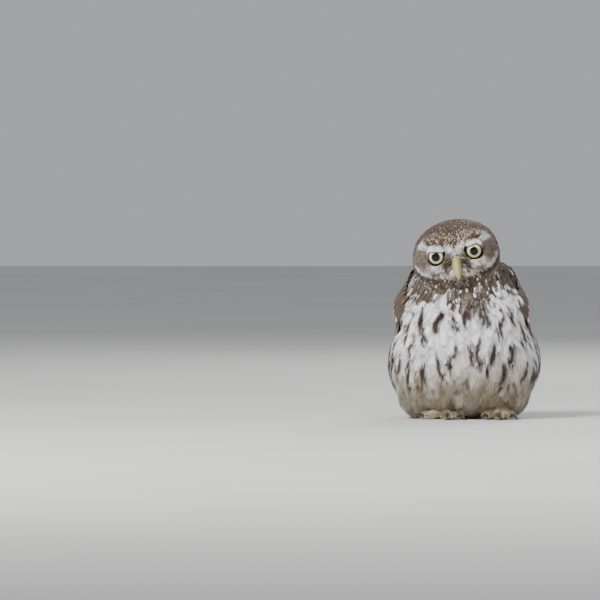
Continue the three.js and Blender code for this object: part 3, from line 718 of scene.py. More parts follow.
def sizes_at(p, rng):
    """How feathers differ over the owl: arrays of each measure, and where each kind of feather grows."""
    count = len(p)
    q, (x, y, z) = to_head(p), lean(p, -1).T
    on_head = head_share(p)
    face = smooth(-q[:, Y], 6, 14) * (1 - smooth(q[:, Z], 14, 17)) * on_head
    brow = near_line(np.abs(q[:, X]), q[:, Z], BROW, 3) * face
    neck = smooth(z, 70, 104)
    behind = smooth(round_body(x, y), 85, 115)
    leg = on_leg(p, z)
    low = (1 - smooth(z, 16, 50)) * (1 - behind)
    low_belly = low * (1 - leg)

    def blend(belly, collar, back, leg_value, crown, face_value, brow_value):
        trunk = mix(mix(mix(belly, collar, neck), mix(back, collar, neck), behind), leg_value, leg)
        return mix(trunk, mix(crown, mix(face_value, brow_value, brow), face), on_head)

    vary = lambda spread: np.clip(rng.normal(1, spread, count), 1 - 2 * spread, 1 + 2 * spread)
    size = {
        "length": blend(19, 10, 15, 4.8, 5.2, 3.8, 4.2) * vary(0.09) + 6 * low_belly,
        "half": blend(5.0, 2.9, 4.6, 1.0, 1.5, 0.62, 0.8) * vary(0.08),
        "share": blend(0.5, 0.75, 0.85, 0.6, 0.85, 0.6, 0.6),
        "fringe": blend(3.0, 1.1, 1.0, 0.8, 0.5, 0.5, 0.9) * mix(1, 1.8, low),
        "tip": blend(3.9, 3.4, 4.0, 1.7, 2.2, 1.1, 1.6) * vary(0.2) + rng.uniform(0, 2.8, count) * low_belly,
        "base": blend(-0.4, 0.2, 0.4, -0.3, 0.6, -0.3, -0.3),
        "curl": blend(0.05, 0.25, 0.4, 0, 0.5, 0.2, 0.2),
        "cling": blend(0.72, 0.9, 0.95, 0.8, 1, 1, 1) - 0.32 * low,
        "yaw": np.radians(blend(8, 8, 5, 10, 7, 9, 7)) * rng.normal(0, 1, count),
        "cup": blend(0.9, 0.5, 0.8, 0.1, 0.18, 0.05, 0.05),
        "roll": rng.normal(0, 0.05, count),
    }
    # Round the wings' front edges they are longer and stand over the wing.
    for side in SIDES:
        along, across = on_bed(side, p)
        inside = along_table(along, WING_EDGE) - across
        near = (side * x > 0) & (across > 12) & (on_head < 0.5)
        front = smooth(along, -16, -5) * (1 - smooth(along, 5, 12)) * smooth(inside, -12, -6) * near
        flank = (1 - smooth(np.abs(inside + 3), 6, 13)) * near
        flank = flank * smooth(along, 2, 14) * (1 - smooth(along, 66, 86))
        size["tip"] = size["tip"] + 2.6 * front + 1.2 * flank
        size["length"] = size["length"] + 3 * front
        size["yaw"] = size["yaw"] + side * math.radians(24) * flank
    hair = (face > 0.5) | (leg > 0.5)
    small = ~hair & ((on_head > 0.5) | (z > 92))
    return size, {HAIR: hair, SMALL: small, PLUME: ~hair & ~small}


# Wings: tiers of feathers on the bed that the trunk and the closed tail make
# A place on the bed is along the wing's axis, and across it, the way round from the middle of the back.

WING_START, WING_END = np.array((0, -24, 80.0)), np.array((0, 118, 5.0))
WING_AXIS = unit(WING_END - WING_START)
WING_UP = np.cross((1, 0, 0), WING_AXIS)
BED_GAP = 0.8
BED_ALONG = np.linspace(-6, 162, 85)
BED_ANGLES = np.radians(np.arange(0, 151, 5.0))
WING_EDGE = [(0, 78), (14, 86), (30, 88), (45, 87), (60, 83), (75, 74), (90, 64), (120, 40), (148, 17)]

# Each tier: its count, its first and last root and tip as along, across and height, widths, roll and bow,
# and its spots' half width, spread as a share of the vane's, and number in a row.
TIERS = {
    "primaries": {
        "kind": QUILL, "count": 7, "width": (10, 10), "roll": 0.16, "bow": -3, "spots": (1.1, 0.62, 6),
        "root": [(66, 66, 0.6), (60, 50, 0.6)], "tip": [(148, 12, 1.2), (128, 9, 2.2)]},
    "secondaries": {
        "kind": QUILL, "count": 10, "width": (11, 11), "roll": 0.16, "bow": 0, "spots": (1.3, 0.6, 5),
        "root": [(60, 46, 0.6), (60, 15.5, 0.7)], "tip": [(121, 17, 2.9), (97, 5, 3.4)]},
    "greater coverts": {
        "kind": COVERT, "count": 11, "width": (12, 11), "roll": 0.1, "bow": 0, "spots": (1.7, 0.42, 2),
        "root": [(42, 79, 0.5), (42, 24, 0.6)], "tip": [(86, 60, 3.1), (78, 12, 3.5)]},
    "median coverts": {
        "kind": COVERT, "count": 10, "width": (12, 11), "roll": 0.09, "bow": 0, "spots": (2.3, 0, 1),
        "root": [(26, 82, 0.4), (26, 35, 0.4)], "tip": [(58, 76, 2.9), (57, 22, 3.3)]},
    "lesser coverts": {
        "kind": COVERT, "count": 9, "width": (10, 10), "roll": 0.1, "bow": 0, "spots": (2.5, 0, 1),
        "root": [(14, 80, 0.3), (14, 46, 0.3)], "tip": [(40, 82, 2.6), (39, 36, 2.9)]},
    "marginal coverts": {
        "kind": COVERT, "count": 9, "width": (9, 9), "roll": 0.1, "bow": 0, "spots": (2.2, 0, 1),
        "root": [(2, 74, 0.3), (3, 46, 0.3)], "tip": [(23, 80, 2.6), (24, 42, 2.8)]},
    "scapulars": {
        "kind": COVERT, "count": 8, "width": (11, 12), "roll": 0.12, "bow": 0, "spots": (2.6, 0, 1),
        "root": [(8, 40, 1.4), (42, 10, 1.8)], "tip": [(32, 33, 3.9), (68, 7, 4.4)]},
}
# The flank's feathers: each row's start along the wing, and how far it is inside the wing's edge
FLANK = {"end": 54, "apart": 4.2, "rows": [(36, 7), (24, 3), (26, -1)]}


def bed_field(p):
    return soft_min(trunk_field(p), distance_to(TAIL_FORM, p), 8)


def bed_table(side):
    """The bed's surface on rays round the wing's axis: places, ways round to them, and normals."""
    start = (WING_START + WING_AXIS * BED_ALONG[:, None])[:, None]
    ray = np.cos(BED_ANGLES)[:, None] * WING_UP + np.sin(BED_ANGLES)[:, None] * np.array((side, 0, 0))
    far = np.full((len(BED_ALONG), len(BED_ANGLES)), 3.0)
    for _ in range(40):
        far = np.where(bed_field(start + ray * far[..., None]) < BED_GAP, far + 3, far)
    near = far - 3
    for _ in range(12):
        middle = (near + far) / 2
        inside = bed_field(start + ray * middle[..., None]) < BED_GAP
        near, far = np.where(inside, middle, near), np.where(inside, far, middle)
    places = start + ray * far[..., None]
    steps = np.linalg.norm(np.diff(places, axis=1), axis=-1)
    across = np.concatenate([np.zeros((len(BED_ALONG), 1)), np.cumsum(steps, axis=1)], 1)
    return places, across, gradient(bed_field, places)


BEDS = {side: bed_table(side) for side in SIDES}


def over_bed(side, along, across, height):
    places, arcs, normals = BEDS[side]
    row = np.clip((along - BED_ALONG[0]) / (BED_ALONG[1] - BED_ALONG[0]), 0, len(BED_ALONG) - 1.001)
    i = row.astype(int)

    def on_row(i):
        k = np.clip(np.sum(arcs[i] <= across[..., None], axis=-1) - 1, 0, len(BED_ANGLES) - 2)
        t = ((across - arcs[i, k]) / (arcs[i, k + 1] - arcs[i, k]))[..., None]
        return mix(places[i, k], places[i, k + 1], t), mix(normals[i, k], normals[i, k + 1], np.clip(t, 0, 1))

    (pa, na), (pb, nb) = on_row(i), on_row(i + 1)
    f = (row - i)[..., None]
    return lean(mix(pa, pb, f) + unit(mix(na, nb, f)) * height[..., None])


def on_bed(side, p):
    """Where a place on the body lies on a wing's bed: along and across."""
    body = lean(p, -1) - WING_START
    along = body @ WING_AXIS
    angle = np.arctan2(side * body[..., X], body @ WING_UP)
    arcs = BEDS[side][1]
    row = np.round((along - BED_ALONG[0]) / (BED_ALONG[1] - BED_ALONG[0]))
    i = np.clip(row, 0, len(BED_ALONG) - 1).astype(int)
    k = np.clip(angle / BED_ANGLES[1], 0, len(BED_ANGLES) - 1.001)
    return along, mix(arcs[i, k.astype(int)], arcs[i, k.astype(int) + 1], k % 1)


def laid(kind, side, root, tip, half, share, fringe, marks, rng, roll=0.0, bow=0.0, thin=False):
    """Feathers laid over a wing's bed. Roots and tips are places along and across it, and heights."""
    step = tip[:, :2] - root[:, :2]
    length = np.linalg.norm(step, axis=1)
    along, across, raised = kind.spread(rng, length, half, share, fringe)
    v = along / length[:, None]
    ahead = (step / length[:, None])[:, None]
    places = root[:, None, :2] + ahead * along[..., None]
    places[..., 0] -= ahead[..., 1] * across
    places[..., 1] += ahead[..., 0] * across + bow * 4 * v * (1 - v)
    height = mix(root[:, None, 2], tip[:, None, 2], v) + raised * (0.4 if kind is QUILL else 0.8)
    height = height + roll * across * smooth(v, -0.1, 0.15) - 0.35 * (across / half[:, None]) ** 2
    if thin:
        inside = along_table(places[..., 0], WING_EDGE) - places[..., 1]
        height = height * mix(0.03, 1, smooth(inside, 0, 11)) * mix(0.1, 1, smooth(places[..., 0], -2, 20))
        height = height + 0.2
    shown = over_floor(over_bed(side, places[..., 0], places[..., 1], height), "wing")
    uv_at = stack(root[:, 0] / 170 + 0.02, root[:, 1] / 100)
    return feathers(kind, rng, shown, along, across, length, half, marks, uv_at)


def quill_streak(count):
    """The thin dark line of a shaft."""
    return np.tile((0, 0.35, 0.5), (count, 1))


def wing_part(side, tier, rng):
    kind, count = tier["kind"], tier["count"]
    t = np.linspace(0, 1, count)[:, None]
    root = mix(*np.array(tier["root"], float), t)
    tip = mix(*np.array(tier["tip"], float), t)
    root[:, :2] += rng.normal(0, 0.35, (count, 2))
    tip[:, :2] += rng.normal(0, 0.7, (count, 2))
    half = mix(*tier["width"], t[:, 0]) / 2 * rng.normal(1, 0.03, count)
    tone, large, apart = rng.random((count, 3)).T
    size, spread, repeats = tier["spots"]
    spot = stack(size * mix(0.75, 1.15, large), spread * half * mix(0.85, 1.1, apart), repeats)
    long = np.full(count, 0.7 if repeats > 1 else 1.15)
    marks = (WING_BROWN * mix(0.85, 1.15, tone[:, None]), quill_streak(count), spot, long)
    share, fringe = (0.94, 0.25) if kind is QUILL else (0.84, 0.9)
    return laid(kind, side, root, tip, half, share, fringe, marks, rng, tier["roll"], tier["bow"], True)


def flank_part(side, rng):
    """Soft breast feathers that lie over the wing's front edge."""
    rows = [(along, inside) for start, inside in FLANK["rows"]
            for along in np.arange(start, FLANK["end"], FLANK["apart"])]
    along, inside = np.array(rows).T
    count = len(rows)
    along = along + rng.uniform(-1.5, 1.5, count)
    inside = inside + rng.uniform(-1.5, 1.5, count)
    root = stack(along, along_table(along, WING_EDGE) - inside, 0.3 + 0.3 * np.clip(inside, 0, 9))
    length = rng.uniform(15, 21, count)
    heading = np.radians(rng.normal(50, 7, count))
    tip = root + stack(np.cos(heading) * length, np.sin(heading) * length, rng.uniform(0.2, 1.2, count))
    marks = marks_at(over_bed(side, *((root + tip) / 2).T), rng)
    part = laid(PLUME, side, root, tip, rng.uniform(4.2, 5.2, count), 0.5, 3.2, marks, rng)
    part["streak"] = streaks_on(part, PLUME, rng, count)
    return part


def tail_part(rng):
    pair, side = (a.ravel() for a in np.meshgrid(np.arange(TAIL["pairs"]), list(SIDES), indexing="ij"))
    count = len(pair)
    start, end = TAIL["ends"][0], TAIL["ends"][1] - TAIL["shorter"] * pair
    length, half = end - start, np.full(count, TAIL["half"])
    along, across, raised = QUILL.spread(rng, length, half, 0.95, 0.2)
    out = [base + more * pair for base, more in (TAIL["root_out"], TAIL["tip_out"])]
    x = side[:, None] * mix(out[0][:, None], out[1][:, None], along / length[:, None]) + across
    under = TAIL["lower"] * (pair - ((pair == 0) & (side > 0)))
    sag = TAIL["roof"] * np.abs(x) + under[:, None]
    shown = stack(x, TAIL["y"], TAIL["z"] + TAIL["lift"] - sag + raised * 0.3)
    shown = shown + (start + along)[..., None] * (turned(X, -TAIL["down"]) @ (0, 1, 0))
    shown[..., Z] = np.maximum(shown[..., Z], OVER_FLOOR["tail"] + 0.1 * (TAIL["pairs"] - pair)[:, None])
    ground = WING_BROWN * mix(0.9, 1.1, rng.random((count, 1)))
    marks = (ground, quill_streak(count), stack(2.6, 0.5 * half, 5.0), np.full(count, 0.42))
    uv_at = stack((side * out[1] + 30) / 60, np.full(count, 0.5))
    return feathers(QUILL, rng, shown, along, across, length, half, marks, uv_at)


# Tubes, for bill, toes and claws

def spline(points, t):
    """A smooth curve through points, for t from 0 to 1."""
    points = np.array(points, float)
    padded = np.concatenate([[2 * points[0] - points[1]], points, [2 * points[-1] - points[-2]]])
    place = np.clip(t, 0, 0.99999) * (len(points) - 1)
    k = place.astype(int)
    f = (place - k)[:, None]
    a, b, c, d = (padded[k + i] for i in range(4))
    return 0.5 * (2 * b + (c - a) * f + (2 * a - 5 * b + 4 * c - d) * f**2 + (3 * b - a - 3 * c + d) * f**3)


def tube(points, radii, rings, sides, section=None, up=(0, 0, 1.0)):
    """A closed tube. section(angle, t) gives the share of the radius and may be left out."""
    t = np.linspace(0, 1, rings)
    centre = spline(points, t)
    ahead = unit(np.gradient(centre, axis=0))
    side = unit(np.cross(ahead, up))
    over = unit(np.cross(side, ahead))
    radii = np.array(radii, float).reshape(len(radii), -1)
    at = np.linspace(0, 1, len(radii))
    wide, tall = (np.interp(t, at, radii[:, i])[:, None, None] for i in (0, -1))
    angle = (np.arange(sides) * 2 * math.pi / sides)[None, :]
    share = section(angle, t[:, None])[..., None] if section else 1
    places = centre[:, None] + share * (
        side[:, None] * np.cos(angle)[..., None] * wide + over[:, None] * np.sin(angle)[..., None] * tall)
    corners = np.concatenate([places.reshape(-1, 3), centre[:1], centre[-1:]])
    first, last = rings * sides, rings * sides + 1
    i = np.arange(sides)
    j = (i + 1) % sides
    end = (rings - 1) * sides
    caps = [stack(first, j, i), stack(last, end + i, end + j)]
    faces = np.concatenate([grid_faces(rings, sides, wrap=True), *caps])
    around = stack(angle / (2 * math.pi), t[:, None], 0).reshape(-1, 3)
    return {"places": corners, "faces": faces, "vane": np.concatenate([around, [(0, 0, 0), (0, 1, 0)]])}


# Bill, eyes and lids, in the head's frame until they are placed

def bill_part(upper):
    """One half of the bill: the whole bill's form, pressed against the line of the mouth."""
    keel = lambda angle, t: 1 - 0.3 * np.abs(np.cos(angle)) * (np.sin(angle) < 0) * smooth(t, 0.05, 0.4)
    line, halves = BILL_LINE, BILL_HALVES
    if not upper:
        every = np.linspace(0, 1, len(halves))
        shares = np.linspace(0, BILL_LOWER_END, len(halves))
        line = spline(line, shares)
        halves = stack(*[np.interp(shares, every, half) for half in zip(*halves)])
    part = tube(line, halves, 40, 32, section=keel, up=(0, 1.0, 0))
    q = part["places"]
    centre = np.array((MOUTH["y"], MOUTH["z"]))
    away = q[:, 1:] - centre
    far = np.linalg.norm(away, axis=1, keepdims=True)
    if upper:
        held = np.maximum(far, MOUTH["radius"] + MOUTH["slit"])
    else:
        held = np.minimum(far, MOUTH["radius"] - MOUTH["slit"])
    q = np.concatenate([q[:, :1], away / far * held + centre], 1)
    for side in SIDES:
        pit = q - (side * NOSTRIL["x"], NOSTRIL["y"], NOSTRIL["z"])
        near = np.linalg.norm(pit, axis=1, keepdims=True) / NOSTRIL["radius"]
        q = q - NOSTRIL["depth"] * np.exp(-near**2) * np.array((side, -0.6, 0))
    return {**part, "places": from_head(q)}


def eye_height(rho):
    """How far forward the eye's surface is at a distance from its axis: the ball, and the cornea's bulge."""
    ball = np.sqrt(np.maximum(EYE["radius"] ** 2 - rho**2, 0))
    edge = math.sqrt(EYE["radius"] ** 2 - EYE["cornea"] ** 2)
    deep = math.sqrt(EYE["bulge"] ** 2 - EYE["cornea"] ** 2)
    dome = edge - deep + np.sqrt(np.maximum(EYE["bulge"] ** 2 - rho**2, 0))
    return np.where(rho < EYE["cornea"], dome, ball)


def round_eye(side, rho, angle, ahead):
    """Places in the part's frame from a distance from an eye's axis, an angle round it and a height on it."""
    q = stack(rho * np.cos(angle), -ahead, rho * np.sin(angle))
    return from_head(q @ turned(Z, side * EYE["turn"]).T + EYE_PLACES[side])


def eye_part(side):
    rings, sides, front = 60, 72, 0.62
    rim = EYE["cornea"] * 1.12
    t = np.linspace(0, 1, rings)[:, None]
    angle = np.linspace(0, 2 * math.pi, sides, endpoint=False)[None]
    fore = t < front
    tilt = mix(math.asin(rim / EYE["radius"]), math.pi, (t - front) / (1 - front))
    rho = np.where(fore, rim * t / front, EYE["radius"] * np.sin(tilt)) + 0 * angle
    ahead = np.where(fore, eye_height(rho), EYE["radius"] * np.cos(tilt))
    places = round_eye(side, rho, angle, ahead).reshape(-1, 3)
    vane = stack(np.where(fore, rho / EYE["cornea"], 2), angle, side).reshape(-1, 3)
    return {"places": places, "faces": grid_faces(rings, sides, wrap=True)[:, ::-1], "vane": vane}


def lid_place(side, angle, out):
    """A place on the ring round an eye, from its inner edge at 0 to its outer at 1, and how far out it is."""
    outwards = side * np.cos(angle)
    line = np.sin(angle) - 0.2 * outwards
    top = np.minimum(LID_OPENING, LID_TOP[side] / np.maximum(line, 0.05))
    opening = np.where(line > 0.05, top, LID_OPENING)
    corner = LID_CORNER * np.clip(outwards, 0, 1) * np.clip(np.sin(angle) + 0.4, 0, 1)
    far = out * (LID_OUTSIDE + corner - opening)
    rho = opening + far
    rise = 0.42 * smooth(far, -0.05, 0.35) - 0.25 * smooth(out, 0.6, 1) - 3.6 * np.maximum(out - 1, 0)
    rise = rise + 0.05 * np.sin(angle * 29) * smooth(out, 0.1, 0.3) * (1 - smooth(out, 0.8, 1))
    return round_eye(side, rho, angle, eye_height(np.minimum(rho, EYE["radius"] * 0.97)) + rise), far


def lid_part(side):
    """The ring of dark bare skin round an eye, with the upper lid across its top."""
    angle = np.linspace(0, 2 * math.pi, 144, endpoint=False)
    outs = (-0.06, 0, 0.04, 0.1, 0.2, 0.35, 0.5, 0.65, 0.8, 0.9, 1, 1.12, 1.25)
    places, far = (np.concatenate(rows) for rows in zip(*[lid_place(side, angle, out) for out in outs]))
    faces = grid_faces(len(outs), len(angle), wrap=True)
    return {"places": places, "faces": faces, "vane": stack(far, np.tile(angle, len(outs)), 0)}


def loose_hairs(root, ahead, normal, length, half, tone, rng, uv_at, rise):
    """Short narrow feathers at given roots, each leaning a little off the surface."""
    count = len(root)
    along, across, raised = HAIR.spread(rng, length, half, 0.6, half * 0.8)
    v = along / length[:, None]
    side = unit(np.cross(ahead, normal))
    height = mix(-0.1, rise, np.clip(v, 0, 1.2)) + raised * half.mean()
    places = root[:, None] + ahead[:, None] * along[..., None] + side[:, None] * across[..., None]
    places = places + normal[:, None] * height[..., None]
    plain = np.zeros((count, 3))
    marks = (tone, plain, plain, np.ones(count))
    return feathers(HAIR, rng, places, along, across, length, half, marks, uv_at)


def lid_feathers(side, rng, count):
    """Tiny feathers over the lids' outer part and the rim, pointing away from the eye."""
    angle = rng.uniform(0, 2 * math.pi, count)
    out = rng.uniform(0.3, 1.25, count)
    root, far = lid_place(side, angle, out)
    keep = far > 0.75
    angle, out, root = angle[keep], out[keep], root[keep]
    count = len(root)
    normal = unit(root - EYES[side])
    ahead = across_surface(lid_place(side, angle, out + 0.3)[0] - root, normal)
    up = head_vector((0, 0, 1.0))
    ahead = unit(ahead + 0.5 * (ahead @ up > 0)[:, None] * up + rng.normal(0, 0.15, (count, 3)))
    length = rng.uniform(1.4, 2.4, count) + 0.9 * smooth(np.sin(angle), 0.3, 0.8)
    shows_at = root + ahead * length[:, None] + 1.2 * (ahead @ up > 0.4)[:, None] * up
    tone = face_colour(to_head(shows_at)) * (0.8 + 0.3 * rng.random((count, 1)))
    uv_at = stack(angle / 7, out / 3 + side * 0.2 + 0.3)
    return loose_hairs(root, ahead, normal, length, rng.uniform(0.2, 0.34, count), tone, rng, uv_at, 0.35)


def bristle_part(rng, count):
    """Fine bristles from round the bill's base, bent forwards over it and down."""
    turn = rng.uniform(-2.5, 2.5, count)
    reach = rng.uniform(3.4, 6.5, count)
    s, c = np.sin(turn), np.cos(turn)
    root = from_head(stack(s * reach * 0.9, -25.5 - rng.random(count) * 1.5,
                           c * reach * 0.85 - 2.2 - 1.5 * np.abs(s)))
    normal = gradient(outer_field, root)
    root = root - normal * skin_field(root)[:, None]
    top = np.maximum(c, 0) ** 4
    away = head_vector(stack(s * 0.9, -0.45 - 0.35 * top, c * 0.75 - 0.35 - 0.85 * top))
    away = unit(away + rng.normal(0, 0.12, (count, 3)))
    droop = head_vector((0, -0.1, -1.0))
    length = rng.uniform(3.5, 7.5, count)[:, None]
    side = unit(np.cross(away, normal))
    segments = 5
    places, vanes = [], []
    for t in np.arange(segments + 1) / segments:
        p = root + away * length * t + droop * length * 0.32 * t * t
        wide = 0.16 * (1 - t) ** 0.6 + 0.015
        for edge in (-1, 1):
            places.append(p + side * edge * wide)
            vanes.append(stack(edge, t, rng.random(count)))
    vane = np.stack(vanes, 1).reshape(-1, 3)
    corners = len(places)
    faces = (grid_faces(segments + 1, 2) + np.arange(count)[:, None, None] * corners).reshape(-1, 3)
    dark = np.repeat(rng.random((count, 1)) < 0.55, corners, axis=0)
    pale = mix(colour(200, 192, 168), colour(52, 44, 38), smooth(vane[:, 1:2], 0.35, 0.9))
    ground = np.concatenate([np.where(dark, colour(60, 50, 42), pale), np.ones((len(vane), 1))], 1)
    uv = np.repeat(stack(turn / 6 + 0.5, reach / 8), corners, axis=0) + PATCH * vane[:, :2] * (0.5, 1)
    plain = np.zeros((len(vane), 3))
    return {"places": np.stack(places, 1).reshape(-1, 3), "faces": faces, "uv": uv, "vane": vane,
            "ground": ground, "streak": plain, "spot": plain}


# Feet

TOE_SHARES, TOE_HEIGHTS, TOE_RADII = zip(*TOE_LINE)


def toe_place(foot, toe, out, z):
    """A place at a share of a toe's length, which starts at the foot's middle."""
    angle = np.radians(toe[0])
    far = toe[1] * np.asarray(out, float)
    return stack(foot["x"] + foot["side"] * np.sin(angle) * far, foot["y"] - np.cos(angle) * far, z)


def toe_part(foot, toe):
    radii = (*TOE_RADII[:-1], TOE_RADII[-1] * 0.8)
    knuckles = lambda angle, t: 1 + 0.05 * np.cos(t * 3 * 2 * math.pi) - 0.25 * smooth(t, 0.93, 1) + 0 * angle
    part = tube(toe_place(foot, toe, TOE_SHARES, TOE_HEIGHTS), radii, 26, 22, section=knuckles)
    over_floor(part["places"], "toe")
    return part


def palm_part(foot):
    rings, sides = 16, 28
    t = np.linspace(0.02, 0.98, rings)[:, None] * math.pi
    angle = np.linspace(0, 2 * math.pi, sides, endpoint=False)[None]
    ball = stack(np.sin(t) * np.cos(angle), np.sin(t) * np.sin(angle), np.cos(t))
    places = (ball * PALM["halves"] + (foot["x"], foot["y"], PALM["z"])).reshape(-1, 3)
    faces = grid_faces(rings, sides, wrap=True)[:, ::-1]
    return {"places": over_floor(places, "toe"), "faces": faces, "vane": np.zeros(places.shape)}


def claw_part(foot, toe):
    shares, heights, radii = zip(*CLAW_LINE)
    out = 1 + (CLAW_GAP + CLAW_LENGTH * np.array(shares)) / toe[1]
    part = tube(toe_place(foot, toe, out, heights), radii, 22, 16)
    over_floor(part["places"], "claw")
    return part


def toe_bristles(foot, rng, per_toe):
    """Short stiff feathers along the toes and over the palm."""
    up = np.array((0, 0, 1.0))
    roots, normals, aheads = [], [], []
    for toe in foot["toes"]:
        out = rng.uniform(0.02, 0.98, per_toe)
        angle = np.radians(rng.uniform(-25, 205, per_toe))[:, None]
        radius = np.interp(out, np.linspace(0, 1, len(TOE_RADII)), TOE_RADII)[:, None]
        ahead = unit(toe_place(foot, toe, 1, 0) - toe_place(foot, toe, 0, 0)) + np.zeros((per_toe, 3))
        normal = unit(np.cross(ahead, up)) * np.cos(angle) + up * np.sin(angle)
        roots.append(spline(toe_place(foot, toe, TOE_SHARES, TOE_HEIGHTS), out) + normal * radius * 0.92)
        normals.append(normal)
        aheads.append(ahead)
    root, normal, ahead = (np.concatenate(values) for values in (roots, normals, aheads))
    keep = root[:, Z] > 0.9
    root, normal, ahead = root[keep], normal[keep], ahead[keep]
    count = len(root)
    ahead = unit(ahead + rng.normal(0, 0.2, (count, 3)) + np.array((0, 0, -0.2)))
    tone = mix(colour(236, 226, 202), colour(168, 150, 122), rng.random((count, 1)) ** 2)
    length, half = rng.uniform(2.2, 3.8, count), rng.uniform(0.24, 0.4, count)
    part = loose_hairs(root, ahead, normal, length, half, tone, rng, (root[:, :2] + 60) / 120, 0.8)
    over_floor(part["places"], "toe_feathers")
    return part


# Materials

class Value:
    """A number or colour in a material that differs from place to place, with signs for sums of numbers."""

    def __init__(self, graph, socket):
        self.graph, self.socket = graph, socket

    def __add__(self, other):
        return self.graph.math("ADD", self, other)

    def __sub__(self, other):
        return self.graph.math("SUBTRACT", self, other)

    def __mul__(self, other):
        return self.graph.math("MULTIPLY", self, other)

    def __truediv__(self, other):
        return self.graph.math("DIVIDE", self, other)

    def __abs__(self):
        return self.graph.math("ABSOLUTE", self)


class Graph:
    """A material and short ways to join its nodes."""

    def __init__(self, name, roughness, specular=0.5, more=()):
        self.material = bpy.data.materials.new(name)
        self.material.use_nodes = True
        self.tree = self.material.node_tree
        self.shader = self.tree.nodes["Principled BSDF"]
        for key, value in (("Roughness", roughness), ("Specular IOR Level", specular), *more):
            self.shader.inputs[key].default_value = value

    def put(self, value, socket):
        if isinstance(value, Value):
            self.tree.links.new(value.socket, socket)
        elif isinstance(value, np.ndarray):
            socket.default_value = (*value, 1)
        else:
            socket.default_value = value

    def node(self, kind, values=(), output=0, first=0, **settings):
        """A new node with values in its inputs, from the first given on, and one of its outputs."""
        made = self.tree.nodes.new(kind)
        for key, value in settings.items():
            setattr(made, key, value)
        for value, socket in zip(values, made.inputs[first:]):
            self.put(value, socket)
        return Value(self, made.outputs[output])

    def math(self, operation, *values):
        return self.node("ShaderNodeMath", values, operation=operation)

    def step(self, value, low, high, to_low=0.0, to_high=1.0):
        values = (value, low, high, to_low, to_high)
        return self.node("ShaderNodeMapRange", values, interpolation_type="SMOOTHSTEP")

    def blend(self, share, a, b, how="MIX"):
        colours = self.node("ShaderNodeMix", (a, b), 2, 6, data_type="RGBA", blend_type=how)
        self.put(share, colours.socket.node.inputs[0])
        return colours

    def shade(self, shown, by):
        """A colour made lighter or darker by a number."""
        grey = self.node("ShaderNodeCombineColor", (by, by, by))
        return self.blend(1.0, shown, grey, "MULTIPLY")

    def attribute(self, name, output):
        return self.node("ShaderNodeAttribute", output=output, attribute_name=name)

    def split(self, name):
        parts = self.node("ShaderNodeSeparateXYZ", (self.attribute(name, "Vector"),)).socket.node.outputs
        return [Value(self, part) for part in parts]

    def noise(self, scale, detail=2.0):
        coordinates = self.node("ShaderNodeTexCoord", output="Object")
        made = self.node("ShaderNodeTexNoise", (coordinates,), "Fac")
        made.socket.node.inputs["Scale"].default_value = scale
        made.socket.node.inputs["Detail"].default_value = detail
        return made

    def bump(self, height, distance):
        made = self.node("ShaderNodeBump").socket.node
        made.inputs["Strength"].default_value = 0.6
        made.inputs["Distance"].default_value = distance
        self.put(height, made.inputs["Height"])
        self.tree.links.new(made.outputs[0], self.shader.inputs["Normal"])

    def paint(self, value):
        self.put(value, self.shader.inputs["Base Color"])
        return self.material


def plumage(name, streak_colour, spot_colour):
    g = Graph(name, 0.82, 0.25, [("Sheen Weight", 0.2), ("Sheen Roughness", 0.45)])
    u, v, seed = g.split("vane")
    offset, half, strength = g.split("streak")
    spot_half, spread, count = g.split("spot")
    ground, half_long = g.attribute("ground", "Color"), g.attribute("ground", "Alpha")
    rough_edge = (g.noise(800, 4.0) - 0.5) * 1.3
    # The streak: along the shaft, widest past its middle
    taper = g.step(v, 0.1, 0.45) * g.step(v, 0.8, 1.08, 1.0, 0.3)
    streak = g.step(abs(u - offset) + rough_edge - half * taper, -0.08, 0.1, 1.0, 0.0)
    streak = streak * (strength * g.step(taper, 0.0, 0.3))
    shown = g.blend(streak, ground, g.blend(seed, streak_colour * 0.8, streak_colour * 1.25))
    # Spots: pale, one near the tip or several in a row, on the shaft or to both sides of it
    x = (abs(u) - spread) / g.math("MAXIMUM", spot_half, 0.001)
    y = (g.math("FRACT", v * count + 0.7) - 0.5) / g.math("MAXIMUM", half_long, 0.001)
    spot = g.step(g.math("SQRT", x * x + y * y) + rough_edge, 0.75, 1.15, 1.0, 0.0)
    shown = g.blend(spot * g.step(spot_half, 0.05, 0.12), shown, spot_colour)
    # Barbs: fine lines that slant away from the shaft
    lines = g.math("SINE", v * 210.0 - abs(u) * 60.0 + seed * 20.0)
    broad = g.step(g.noise(260, 3.0), 0.3, 0.7, 0.9, 1.08)
    g.bump(lines, 0.00006)
    return g.paint(g.shade(shown, g.step(lines, -1.0, 1.0, 0.93, 1.05) * broad))


def eye_material():
    g = Graph("iris", 0.2, 0.1, [("Coat Weight", 0.55), ("Coat Roughness", 0.03)])
    rho, angle, side = g.split("vane")
    spokes = g.math("SINE", angle * 61.0) * 0.5 + g.math("SINE", angle * 23.0)
    spokes = g.step(spokes, -1.5, 1.5)
    left = g.blend(spokes, colour(198, 200, 122), colour(226, 228, 166))
    # Painted light: the right eye's iris is painted paler than the left's, as on the side the light falls on.
    right = g.blend(spokes, colour(216, 214, 170), colour(240, 238, 208))
    iris = g.blend(g.step(side, -0.5, 0.5), right, left)
    iris = g.blend(g.step(rho, 0.56, 0.72), colour(168, 168, 96), iris)
    iris = g.blend(g.step(rho, 0.86, 0.98), iris, colour(128, 126, 76))
    shown = g.blend(g.step(rho, 0.56, 0.595), np.array((0.001, 0.001, 0.0015)), iris)
    return g.paint(g.blend(g.step(rho, 0.965, 1.0), shown, np.array((0.006, 0.005, 0.005))))


